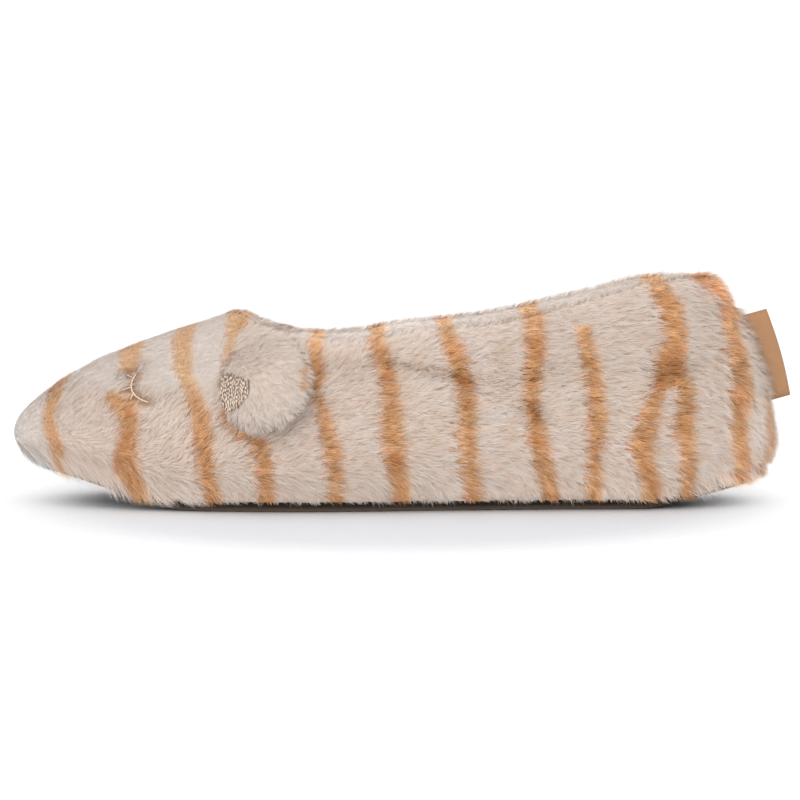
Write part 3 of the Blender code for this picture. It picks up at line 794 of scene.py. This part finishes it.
# Painted light and shade over the back half of the wall: lighter low down and darker high up
BACK_LIGHT_ALONG = (0, 40 * MM)
BACK_LIGHT_HEIGHT = (15, 32, 45)
BACK_LIGHT = (0.045, -0.01, -0.035)
PRINT_FADES = 0.15
EYE_SHADE_OCHRE = 0.8
SEEN_PLACES = (0.2, 1.0)
SEEN_NEARER_ROOT = 0.8
TONE_SWING = 0.6
TONE_SIZE = 6 * MM
TONE_SPREAD = 0.5
HAIR_TONE = 0.8
CREAM_CONTRAST = 0.06
OCHRE_CONTRAST = 0.28
SLEEK_EVEN = 0.85
PALE_MIDDLE = 0.7
PALE_SWING = 0.6
PALE_SIZE = 4 * MM
PALE_SPREAD = 0.2
HAIR_PALE = 0.25
PALE_RANGE = (0.1, 1)
HOLLOW_LESS_PALE = 0.8
PALEST = 1.3


def unit(vectors):
    """Each vector at length 1."""
    return vectors / np.maximum(np.linalg.norm(vectors, axis=1, keepdims=True), TINY)


def along_surface(vectors, normals):
    """The part of each vector that lies in the surface, at length 1."""
    return unit(vectors - normals * np.einsum("ij,ij->i", vectors, normals)[:, None])


def turned_about(axes, vectors, angles):
    """Vectors turned about the axes that they stand square to, by an angle each."""
    return vectors * np.cos(angles)[:, None] + np.cross(axes, vectors) * np.sin(angles)[:, None]


def lessened(shares, losses):
    """What is left of 1 when each place takes its loss, by the share of each hair in that place."""
    return np.prod([1 - loss * shares[place] for place, loss in losses.items()], axis=0)


def added(shares, gains):
    """What the places add together, by the share of each hair in each place."""
    return np.sum([gain * shares[place] for place, gain in gains.items()], axis=0)


def planted(mesh, count, keep, chance):
    """Hair roots spread evenly over the triangles that keep allows, with the normals there."""
    mesh.calc_loop_triangles()
    corners = read_all(mesh.loop_triangles, "vertices", 3, np.int32)
    areas = read_all(mesh.loop_triangles, "area", 1)[:, 0]
    places = read_all(mesh.vertices, "co", 3)[corners]
    facings = read_all(mesh.vertices, "normal", 3)[corners]
    kept = keep(places.mean(axis=1), unit(facings.mean(axis=1)))
    odds = np.where(kept, areas, 0.0)
    chosen = chance.choice(len(areas), count, p=odds / odds.sum())
    first, second = chance.random((2, count, 1))
    folded = first + second > 1
    first, second = np.where(folded, 1 - first, first), np.where(folded, 1 - second, second)
    shares = np.stack([first, second, 1 - first - second], axis=1)
    return (places[chosen] * shares).sum(axis=1), unit((facings[chosen] * shares).sum(axis=1))


def gathered(roots, count, chance):
    """Some chosen hairs that lead a lock each, and for each hair the number of the nearest of them."""
    leaders = roots[chance.choice(len(roots), count, replace=False)]
    tree = KDTree(count)
    for number, leader in enumerate(leaders):
        tree.insert(leader, number)
    tree.balance()
    return leaders, np.array([tree.find(root)[1] for root in roots])


def hugging(points, normals, surface, free, widest_bend):
    """Hair tips brought back to a surface that bends away under them, with the normals there.

    A tip stays where it is if it hangs free, or if the surface has turned further than the widest bend.
    """
    settled, facing = points.copy(), normals.copy()
    for number in np.flatnonzero(~free):
        place, normal, _, _ = surface.find_nearest(points[number])
        if normal.dot(Vector(normals[number])) > widest_bend:
            settled[number], facing[number] = place, normal
    return settled, facing


def bent_hairs(roots, normals, tips, tip_normals, rise, tilts, chance):
    """Middles, half-width sides and shading normals of hairs that rise steeply and bend over to their tips.

    The normals are those of the pile as a whole with a small tilt, so that it shades softly.
    """
    elbows = roots + normals * (rise * ELBOW_UP)[:, None] + (tips - roots) * ELBOW_OUT
    ends = tips + tip_normals * rise[:, None]
    roll = chance.uniform(-HAIR_ROLL, HAIR_ROLL, len(roots))
    tilt = chance.normal(0, 1, roots.shape) * tilts[:, None]
    width = HAIR_WIDTH * chance.uniform(*HAIR_WIDTHS, len(roots))
    middles, sides, facings = [], [], []
    for place, share in zip(RING_PLACES, RING_WIDTHS):
        rest = 1 - place
        heading = unit((elbows - roots) * rest + (ends - elbows) * place)
        side = turned_about(heading, unit(np.cross(heading, normals)), roll)
        middles.append(roots * rest ** 2 + elbows * (2 * rest * place) + ends * place ** 2)
        sides.append(side * (width * share / 2)[:, None])
        facings.append(unit(normals * rest + tip_normals * place + tilt))
    return np.stack(middles, axis=1), np.stack(sides, axis=1), np.stack(facings, axis=1)


def new_hairs(name, middles, sides, facings, facts, material):
    """One mesh of tapering flat hairs: two points at the root, two at the bend, and a tip.

    The facts of each hair are its share of ochre, its shade and how far it pales towards its tip.
    """
    count = len(middles)
    points = np.empty((count, HAIR_POINTS, 3), np.float32)
    for ring in range(2):
        points[:, 2 * ring] = middles[:, ring] - sides[:, ring]
        points[:, 2 * ring + 1] = middles[:, ring] + sides[:, ring]
    points[:, -1] = middles[:, 2]
    numbers = np.arange(count, dtype=np.int32)[:, None]
    loops = (numbers * HAIR_POINTS + np.array(HAIR_FACES, np.int32)).ravel()
    starts = (numbers * len(HAIR_FACES) + np.array(HAIR_FACE_STARTS, np.int32)).ravel()
    mesh = bpy.data.meshes.new(name)
    mesh.vertices.add(count * HAIR_POINTS)
    mesh.vertices.foreach_set("co", points.ravel())
    mesh.loops.add(len(loops))
    mesh.loops.foreach_set("vertex_index", loops)
    mesh.polygons.add(len(starts))
    mesh.polygons.foreach_set("loop_start", starts)
    mesh.update(calc_edges=True)
    mesh.shade_smooth()

    along = np.repeat(np.array(RING_PLACES), RING_POINTS)
    strand = np.empty((count, HAIR_POINTS, 3), np.float32)
    strand[:, :, 0] = facts[:, None, 0]
    strand[:, :, 1] = np.minimum(along * facts[:, None, 2], PALEST)
    strand[:, :, 2] = facts[:, None, 1]
    mesh.attributes.new("strand", "FLOAT_VECTOR", "POINT").data.foreach_set("vector", strand.ravel())

    columns = math.ceil(math.sqrt(count * CHART_COLUMNS_PER_ROW))
    rows = math.ceil(count / columns)
    corner = np.stack([np.arange(count) % columns, np.arange(count) // columns], axis=1)
    cell = np.stack([np.array(CHART_ACROSS), CHART_MARGIN + (1 - 2 * CHART_MARGIN) * along], axis=1)
    spread = (corner[:, None, :] + cell[None, :, :]) / np.array([columns, rows])
    chart = mesh.uv_layers.new(name="OFBake")
    chart.data.foreach_set("uv", spread.reshape(-1, 2)[loops].astype(np.float32).ravel())
    mesh.normals_split_custom_set_from_vertices(np.repeat(facings, RING_POINTS, axis=1).reshape(-1, 3))
    mesh.materials.append(material)
    return carried(name, mesh)


def wandering(points, size):
    """A soft random value from about -1 to 1 that changes over a given size."""
    return np.array([noise.noise(Vector(point) / size) for point in points])


def ear_reach(points):
    """Distance from an ear's middle in the side view, 1 at its outline, and endless off the shoe's sides."""
    reach = np.hypot(*ear_spot(points[:, 0], points[:, 2]))
    return np.where(np.abs(points[:, 1]) > SIDE_FROM, reach, np.inf)


def pile_grows(points, normals):
    """True outside and over the collar's edge, off the hem's underside and off the wall behind the ears."""
    outside = (facing_outside(points, normals) > OUTSIDE_FACING) & (normals[:, 2] > HEM_UNDERSIDE)
    at_collar = below_rim(points) < RIM_BAND
    return (outside | at_collar) & (ear_reach(points) > EAR_COVERS)


chance = np.random.default_rng(5)
roots, normals = planted(backing_mesh, HAIR_COUNT, pile_grows, chance)
leaders, lock = gathered(roots, LOCK_COUNT, chance)
lock_turn = chance.normal(0, LOCK_TURN, LOCK_COUNT) + LOCK_SWIRL * wandering(leaders, LOCK_SWIRL_SIZE)
lock_length = chance.uniform(*LOCK_LENGTHS, LOCK_COUNT)
lock_rise = chance.uniform(*LOCK_RISES, LOCK_COUNT)
lock_tone = TONE_SWING * wandering(leaders, TONE_SIZE)
lock_tone += chance.uniform(-TONE_SPREAD, TONE_SPREAD, LOCK_COUNT)
lock_pale = PALE_MIDDLE + PALE_SWING * wandering(leaders, PALE_SIZE)
lock_pale += chance.uniform(-PALE_SPREAD, PALE_SPREAD, LOCK_COUNT)
lock_fringe = FRINGE_RAGGED * chance.random(LOCK_COUNT)
from_leader = ramp(np.linalg.norm(roots - leaders[lock], axis=1), 0, LOCK_WIDTH)

# The share of each hair, from 0 to 1, in the places at which the pile changes
along, off_seam, height = roots[:, 0], np.abs(roots[:, 1]), roots[:, 2]
lowest_wall = np.interp(along, hem_stations, hem_heights)
at_back = along > HEEL_RIM_X
beside_tag = at_back & (height > TAG_FUR_LOW) & (height < TAG_FUR_TOP)
to_ear = (np.array(ear_middle) - roots) / np.array(ear_half)
to_ear[:, 1] = 0
to_ear = unit(to_ear)
here = dict(
    rim=rim_share(roots), sleek=sleek_share(roots), nose=nose_tip_share(roots),
    hem=ramp(height, lowest_wall + HEM_HANG, lowest_wall),
    toe=ramp(along, *TOE_ALONG), heel=ramp(along, *HEEL_ALONG),
    ear_seam=ramp(ear_reach(roots), EAR_SEAM_FROM, EAR_COVERS),
    turned_in=ramp(facing_outside(roots, normals), *TURNED_IN_FACING) * (below_rim(roots) < RIM_BAND),
    parted=crease_depth(roots) / CREASE_PARTS, trimmed=ramp(eye_gap(roots), EYE_TRIMMED, 0),
    tag=ramp(off_seam, TAG_FUR, 0) * beside_tag,
    heel_top=ramp(along, *HEEL_TOP_ALONG) * ramp(height, *HEEL_TOP_HEIGHT),
    heel_low=ramp(height, *HEEL_LOW_HEIGHT) * ramp(off_seam, *HEEL_LOW_ACROSS) * at_back,
)
here["ear_seam"] *= np.clip(EAR_SEAM_ROUND + to_ear @ np.array(EAR_SEAM_TOWARDS), 0, 1)
here["heel_top"] *= 1 - HEEL_TOP_RIM * here["rim"]
here["heel_low"] *= 1 - here["hem"]
here["crown"] = np.exp(-((along - THROAT_X) / CROWN_WIDTH) ** 2) * here["rim"]
here["rim_back"] = here["rim"] * np.clip(normals[:, 0], 0, 1)
here["heel_back"] = at_back * np.clip(HEEL_BACK_GAIN * normals[:, 0], 0, 1) * (1 - here["rim"])
# Painted shade on the vamp's top, where the hairs face up into the light
here["vamp"] = here["sleek"] * np.interp(normals[:, 2], VAMP_SHADE_FACING, VAMP_SHADE) * (1 - here["nose"])
calm = lessened(here, CALMER)
neat = np.maximum(here["sleek"], ramp(along, *NEAT_HEEL_ALONG))

# The pile runs back along the shoe, hangs down at the hem and leans onto the sewn edge of the ears
comb = np.zeros_like(roots)
comb[:, 0] = 1 - (HEM_BACK_LESS + HEM_BACK_LESS_TOE * here["toe"]) * here["hem"]
comb[:, 2] = np.interp(along / MM, COMB_ALONG, COMB_RISE) * (1 - here["hem"]) - here["hem"]
comb += to_ear * (EAR_SEAM_PULL * here["ear_seam"])[:, None]
comb = along_surface(comb + chance.normal(0, COMB_JITTER, roots.shape), normals)
turn = lock_turn[lock] * calm + chance.normal(0, HAIR_TURN * (calm + here["rim"]), len(roots))
comb = turned_about(normals, comb, turn)

# Shorter at the collar, on the nose and vamp, round the eyes and in the creases, longer at the hem, where
# each lock ends in a point of its own height
length = HAIR_LENGTH * lessened(here, SHORTER) * (1 + HEM_LONGER * here["hem"])
length *= lock_length[lock] * chance.uniform(*HAIR_LENGTHS, len(roots))
length *= 1 - LOCK_POINTED * here["hem"] * from_leader
rise = HAIR_RISE * lessened(here, FLATTER) * lock_rise[lock] * chance.uniform(*HAIR_RISES, len(roots))
rise += added(here, TUFTS) * chance.uniform(*TUFT_HEIGHTS, len(roots))

# The hairs rooted along the hem reach down to the fringe's own ragged line
ragged = (lock_fringe[lock] + FRINGE_POINTED * from_leader) * (1 - FRINGE_NEATER * neat)
lowest = lowest_wall + ragged + np.interp(along / MM, FRINGE_ALONG, FRINGE_LIFT) * MM
to_line = np.maximum(height - lowest, FRINGE_SHORTEST) / np.maximum(-comb[:, 2], FRINGE_LEAST_DOWN)
fringe_from = FRINGE_ROOTS + (FRINGE_ROOTS_TOE - FRINGE_ROOTS) * here["toe"]
mingled = FRINGE_MINGLED * (1 - fringe_from) * chance.random(len(roots)) * (1 - here["heel"])
fringe = here["hem"] > fringe_from + mingled
uneven = FRINGE_UNEVEN + (FRINGE_UNEVEN_NEAT - FRINGE_UNEVEN) * neat
reaches = np.minimum(to_line, FRINGE_LONGEST) * (1 - uneven * chance.random(len(roots)))
length = np.where(fringe, reaches, np.minimum(length, np.maximum(to_line, HAIR_SHORTEST)))
rise *= np.where(fringe, FRINGE_FLATTER, 1.0)

# Tips lean to the leader of their lock, follow the wall where it bends and lie on the ears at their seam
pull = (LOCK_PULL + LOCK_PULL_HEM * here["hem"]) * calm
tips = roots + comb * length[:, None] + (leaders[lock] - roots) * pull[:, None]
tips, tip_normals = hugging(tips, normals, backing_surface, tips[:, 2] < lowest_wall, WIDEST_BEND)
for number in np.flatnonzero((here["ear_seam"] > EAR_SEAM_LEAST) & (ear_reach(tips) < 1)):
    side = 1 if tips[number, 1] > 0 else -1
    place, normal = seen_from_side(ear_surfaces[side], tips[number, [0, 2]], side)
    if place is not None and (place - Vector(tips[number])).length < EAR_SEAM_REACH:
        tips[number], tip_normals[number] = place, normal
middles, sides, facings = bent_hairs(roots, normals, tips, tip_normals, rise, HAIR_TILT * calm, chance)
middles[:, :, 2] = np.maximum(middles[:, :, 2], HAIR_LOWEST)

# The ochre bands show more light and dark hairs than the cream, and the hairs that pale least keep the red
# of their roots
seen_share = chance.uniform(*SEEN_PLACES, len(roots)) * (1 - SEEN_NEARER_ROOT * here["toe"] * here["hem"])
here["hollow"] = eye_hollow(middles[:, 1])
print_share = stripe_share(roots + (tips - roots) * seen_share[:, None])
print_share *= 1 - PRINT_FADES * np.maximum(here["rim"], here["sleek"])
# Painted shade: round the eyes the hairs take the ochre's dark root colour as brown shade, not print
print_share = np.maximum(print_share, EYE_SHADE_OCHRE * here["hollow"])
here["high_print"] = print_share * ramp(height, *HIGH_PRINT_HEIGHT) * (1 - here["sleek"])
tone = lock_tone[lock] + chance.uniform(-HAIR_TONE, HAIR_TONE, len(roots))
tone *= (CREAM_CONTRAST + OCHRE_CONTRAST * print_share) * (1 - SLEEK_EVEN * here["sleek"])
# Painted shade by place, on top of each hair's own random tone
shade = (1 + tone) * lessened(here, DARKER)
# Painted light at the collar, inside it, beside the tag, at the heel and high on the print
for gains in LIGHTER:
    shade *= 1 + added(here, gains)
# Painted light and shade: the back half is lighter low on the wall and darker high up
shade *= 1 + np.interp(height / MM, BACK_LIGHT_HEIGHT, BACK_LIGHT) * ramp(along, *BACK_LIGHT_ALONG)
pale = np.clip(lock_pale[lock] + chance.uniform(-HAIR_PALE, HAIR_PALE, len(roots)), *PALE_RANGE)
# Painted light: the nose, vamp, collar, its inside and the fur beside the tag are made paler
for gains in PALER:
    pale = np.maximum(pale, added(here, gains))
# Painted shade: in the creases and round the eyes the hairs keep more of their roots' dark colour
pale *= 1 - HOLLOW_LESS_PALE * np.maximum(here["parted"], here["hollow"])
facts = np.stack([print_share, shade, pale], axis=1)


def clear_of_stitches(middles):
    """True for hairs that leave the eyes and the heart patches bare."""
    open_eyes = np.min([eye_gap(middles[:, ring]) for ring in range(3)], axis=0) > EYE_CLEAR
    over_patch = inside_patch(middles[:, 1][:, [0, 2]], PATCH_CLEAR)
    over_patch |= inside_patch(middles[:, 2][:, [0, 2]], PATCH_CLEAR_TIPS)
    return open_eyes & ~(over_patch & (np.abs(middles[:, 1, 1]) > SIDE_FROM))


order = np.argsort(roots[:, 0], kind="stable")
order = order[clear_of_stitches(middles)[order]]
for name, part in zip(PILE_PIECES, np.array_split(order, len(PILE_PIECES))):
    piece = new_hairs(name, middles[part], sides[part], facings[part], facts[part], plush)
    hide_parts("upper")

# Ear pile: the same hairs, clipped shorter, combed from the sewn edge of each ear out to its free edge.
EAR_HAIR_COUNT = 16000
EAR_HAIR_LENGTH = 3.8 * MM
EAR_HAIR_LENGTHS = (0.7, 1.05)
EAR_HAIR_RISE = 1.7 * MM
EAR_TOP_FLATTER = 0.7
EAR_LOCK_COUNT = 900
EAR_LOCK_TURN = 0.4
EAR_LOCK_PULL = 0.25
EAR_COMBED_FROM = (-0.9, 0.8)
EAR_COMB_JITTER = 0.12
EAR_FACE_FROM = -0.4
EAR_WIDEST_BEND = 0.3
EAR_SHADE = 0.82
# Painted light on the ear's hairs that face up and towards the toe
EAR_LIGHTER = 0.12
EAR_HAIR_TONE = 0.08
EAR_LOCK_TONE = 0.06
EAR_PALE = 0.8

# How long the hairs are where the ear turns its back to the shoe, from its edge to the middle of its back
EAR_BACK_FACING = (0, 0.15, 0.6, 0.9)
EAR_BACK_LENGTH = (1, 0.35, 0.35, 0.6)


def ear_pile_grows(points, normals):
    """True on the face of an ear, round its edge and on the back of its free half."""
    back, up = ear_spot(points[:, 0], points[:, 2])
    free = EAR_SEWN_TOWARDS[0] * back + EAR_SEWN_TOWARDS[1] * up < 0
    return free | (normals[:, 1] * np.sign(points[:, 1]) > EAR_FACE_FROM)


sewn_edge = ear_middle + Vector((EAR_COMBED_FROM[0] * ear_half.x, 0, EAR_COMBED_FROM[1] * ear_half.z))
for side, side_name in SIDES:
    name = "ear_" + side_name
    roots, normals = planted(ear_meshes[side], EAR_HAIR_COUNT, ear_pile_grows, chance)
    leaders, lock = gathered(roots, EAR_LOCK_COUNT, chance)
    comb = unit((roots - np.array(sewn_edge)) * np.array((1, 0, 1)))
    comb = along_surface(comb + chance.normal(0, EAR_COMB_JITTER, roots.shape), normals)
    turn = chance.normal(0, EAR_LOCK_TURN, EAR_LOCK_COUNT)[lock] + chance.normal(0, HAIR_TURN, len(roots))
    comb = turned_about(normals, comb, turn)
    length = EAR_HAIR_LENGTH * chance.uniform(*EAR_HAIR_LENGTHS, len(roots))
    length *= np.interp(-normals[:, 1] * side, EAR_BACK_FACING, EAR_BACK_LENGTH)
    rise = EAR_HAIR_RISE * chance.uniform(*HAIR_RISES, len(roots))
    rise *= 1 - EAR_TOP_FLATTER * np.clip(normals[:, 2], 0, 1)
    tips = roots + comb * length[:, None] + (leaders[lock] - roots) * EAR_LOCK_PULL
    hanging = np.zeros(len(roots), bool)
    tips, tip_normals = hugging(tips, normals, ear_surfaces[side], hanging, EAR_WIDEST_BEND)
    tilts = np.full(len(roots), HAIR_TILT)
    middles, sides, facings = bent_hairs(roots, normals, tips, tip_normals, rise, tilts, chance)
    # Painted light: hairs facing up and towards the toe are painted lighter
    shade = EAR_SHADE + EAR_LIGHTER * np.clip(normals[:, 2] - normals[:, 0], 0, 1)
    shade += chance.uniform(-EAR_HAIR_TONE, EAR_HAIR_TONE, len(roots))
    shade += chance.uniform(-EAR_LOCK_TONE, EAR_LOCK_TONE, EAR_LOCK_COUNT)[lock]
    facts = np.stack([ear_stripe(middles[:, 1]), shade, np.full(len(roots), EAR_PALE)], axis=1)
    kept = clear_of_stitches(middles)
    piece = new_hairs(name + "_pile", middles[kept], sides[kept], facings[kept], facts[kept], plush)
    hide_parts(name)

# Heel tag: a flat woven ribbon folded once, its two ends caught in the back seam and its fold standing out
# behind the heel. The seam is leaned, so the tag leans with it, and its fold bows out a little.
TAG_LEAN = 8 * MM
TAG_SLANT = 0.28
TAG_EDGE_UP = 0.6 * MM
TAG_BOW = 0.8 * MM
TAG_ROOT = 1.5 * MM
TAG_HALF_GAP = 0.45 * MM
RIBBON_THICK = 0.45 * MM
RIBBON_TAN = (0.47, 0.255, 0.125, 1)
RIBBON_TAN_DEEP = (0.41, 0.215, 0.10, 1)
RIB_SPACING = 0.9 * math.pi * MM
WAVE_PHASE_PER_UNIT = 20

tag_low, tag_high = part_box("heel_tag")
tag_rise = tag_high.z - tag_low.z - TAG_EDGE_UP
half_fold = math.pi / 2 * TAG_HALF_GAP
bm = bmesh.new()
bmesh.ops.create_grid(bm, x_segments=40, y_segments=12, size=0.5)
for vert in bm.verts:
    up = vert.co.y + 0.5
    reach = tag_high.x - TAG_LEAN * up + TAG_BOW * (math.sin(math.pi * up) - 1) - TAG_HALF_GAP
    root = tag_low.x + TAG_LEAN * (1 - up) - TAG_ROOT
    from_fold = vert.co.x * 2 * (reach - root + half_fold)
    if abs(from_fold) < half_fold:
        bend = from_fold / TAG_HALF_GAP
        x, y = reach + TAG_HALF_GAP * math.cos(bend), TAG_HALF_GAP * math.sin(bend)
    else:
        x, y = reach - (abs(from_fold) - half_fold), math.copysign(TAG_HALF_GAP, from_fold)
    vert.co = (x, y, tag_low.z + tag_rise * up + TAG_SLANT * (x - reach) + TAG_EDGE_UP)
bm.normal_update()
ribbon, tree, shader = new_material("tan_ribbon")
place = add_node(tree, "ShaderNodeTexCoord").outputs["Object"]
rib_scale = 2 * math.pi / RIB_SPACING / WAVE_PHASE_PER_UNIT
ribs = add_node(tree, "ShaderNodeTexWave", {"Vector": place, "Scale": rib_scale, "Distortion": 0.4},
                bands_direction="Z")
flecks = add_node(tree, "ShaderNodeTexNoise", {"Vector": place, "Scale": 500, "Detail": 3})
bump = add_node(tree, "ShaderNodeBump",
                {"Height": ribs.outputs["Fac"], "Strength": 0.25, "Distance": 0.1 * MM})
set_inputs(tree, shader, {"Base Color": mixed(tree, flecks.outputs["Fac"], RIBBON_TAN_DEEP, RIBBON_TAN),
                          "Normal": bump.outputs["Normal"], "Roughness": 0.55, "Specular IOR Level": 0.35})
tag = new_piece("heel_tag_ribbon", bm, ribbon)
thick = tag.modifiers.new("ribbon_thickness", "SOLIDIFY")
thick.thickness = RIBBON_THICK
thick.offset = 0
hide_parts("heel_tag")

# Floor, light and camera: a white studio table under wide soft light, seen from the outer side a little
# above the floor. The table fades out into the white room behind it.
FLOOR_WHITE = (0.82, 0.84, 0.875, 1)
FLOOR_REACH = (0.146, 0.19)
FLOOR_FULL = 0.63
FLOOR_EDGE = 1.3
ROOM_WHITE = (1, 1, 1, 1)
ROOM_LIGHT = 0.8
ROOM_SEEN = 1.1
SOFTBOXES = {
    "overhead_softbox": dict(place=(0, -0.15, 1.3), aim=(0, 0, 0), size=(1.6, 1.2), power=3),
    "front_softbox": dict(place=(-0.3, -1.5, 0.45), aim=(0, 0, 0.03), size=(1.0, 0.9), power=10.5),
}
CAMERA_DISTANCE = 1.6
CAMERA_RISE = math.radians(4.5)
CAMERA_AIM = Vector((1.5 * MM, 0, 33.2 * MM))
PHOTO_WIDTH = 262.2 * MM

bm = bmesh.new()
bmesh.ops.create_circle(bm, cap_ends=True, segments=96, radius=FLOOR_EDGE * max(FLOOR_REACH))
floor_mesh = bpy.data.meshes.new("studio_table")
bm.to_mesh(floor_mesh)
bm.free()
floor = bpy.data.objects.new("studio_table", floor_mesh)
bpy.context.scene.collection.objects.link(floor)
table, tree, shader = new_material("white_table")
place = add_node(tree, "ShaderNodeTexCoord").outputs["Object"]
shrunk = add_node(tree, "ShaderNodeVectorMath", {0: place, 1: (1 / FLOOR_REACH[0], 1 / FLOOR_REACH[1], 1)},
                  operation="MULTIPLY")
out = add_node(tree, "ShaderNodeVectorMath", {0: shrunk.outputs[0]}, operation="LENGTH").outputs["Value"]
solid = add_node(tree, "ShaderNodeMapRange",
                 {"Value": out, "From Min": FLOOR_FULL, "From Max": 1.0, "To Min": 1.0, "To Max": 0.0},
                 interpolation_type="SMOOTHSTEP")
set_inputs(tree, shader, {"Base Color": FLOOR_WHITE, "Alpha": solid.outputs[0], "Roughness": 0.6,
                          "Specular IOR Level": 0.2})
floor_mesh.materials.append(table)

world = bpy.data.worlds.new("white_room")
bpy.context.scene.world = world
world.use_nodes = True
tree = world.node_tree
seen = add_node(tree, "ShaderNodeLightPath").outputs["Is Camera Ray"]
strength = add_node(tree, "ShaderNodeMapRange", {"Value": seen, "To Min": ROOM_LIGHT, "To Max": ROOM_SEEN})
set_inputs(tree, tree.nodes["Background"], {"Color": ROOM_WHITE, "Strength": strength.outputs[0]})

for name, softbox in SOFTBOXES.items():
    lamp = bpy.data.lights.new(name, "AREA")
    lamp.shape = "RECTANGLE"
    lamp.size, lamp.size_y = softbox["size"]
    lamp.energy = softbox["power"]
    light = bpy.data.objects.new(name, lamp)
    light.location = softbox["place"]
    towards = Vector(softbox["aim"]) - Vector(softbox["place"])
    light.rotation_euler = towards.to_track_quat("-Z", "Y").to_euler()
    bpy.context.scene.collection.objects.link(light)

lens = bpy.data.cameras.new("photo_camera")
lens.sensor_width = 36
lens.lens = lens.sensor_width * CAMERA_DISTANCE / PHOTO_WIDTH
lens.clip_end = 20
camera = bpy.data.objects.new("photo_camera", lens)
camera.location = CAMERA_AIM + CAMERA_DISTANCE * Vector((0, -math.cos(CAMERA_RISE), math.sin(CAMERA_RISE)))
camera.rotation_euler = (math.pi / 2 - CAMERA_RISE, 0, 0)
bpy.context.scene.collection.objects.link(camera)
bpy.context.scene.camera = camera
bpy.context.scene.view_settings.view_transform = "Standard"
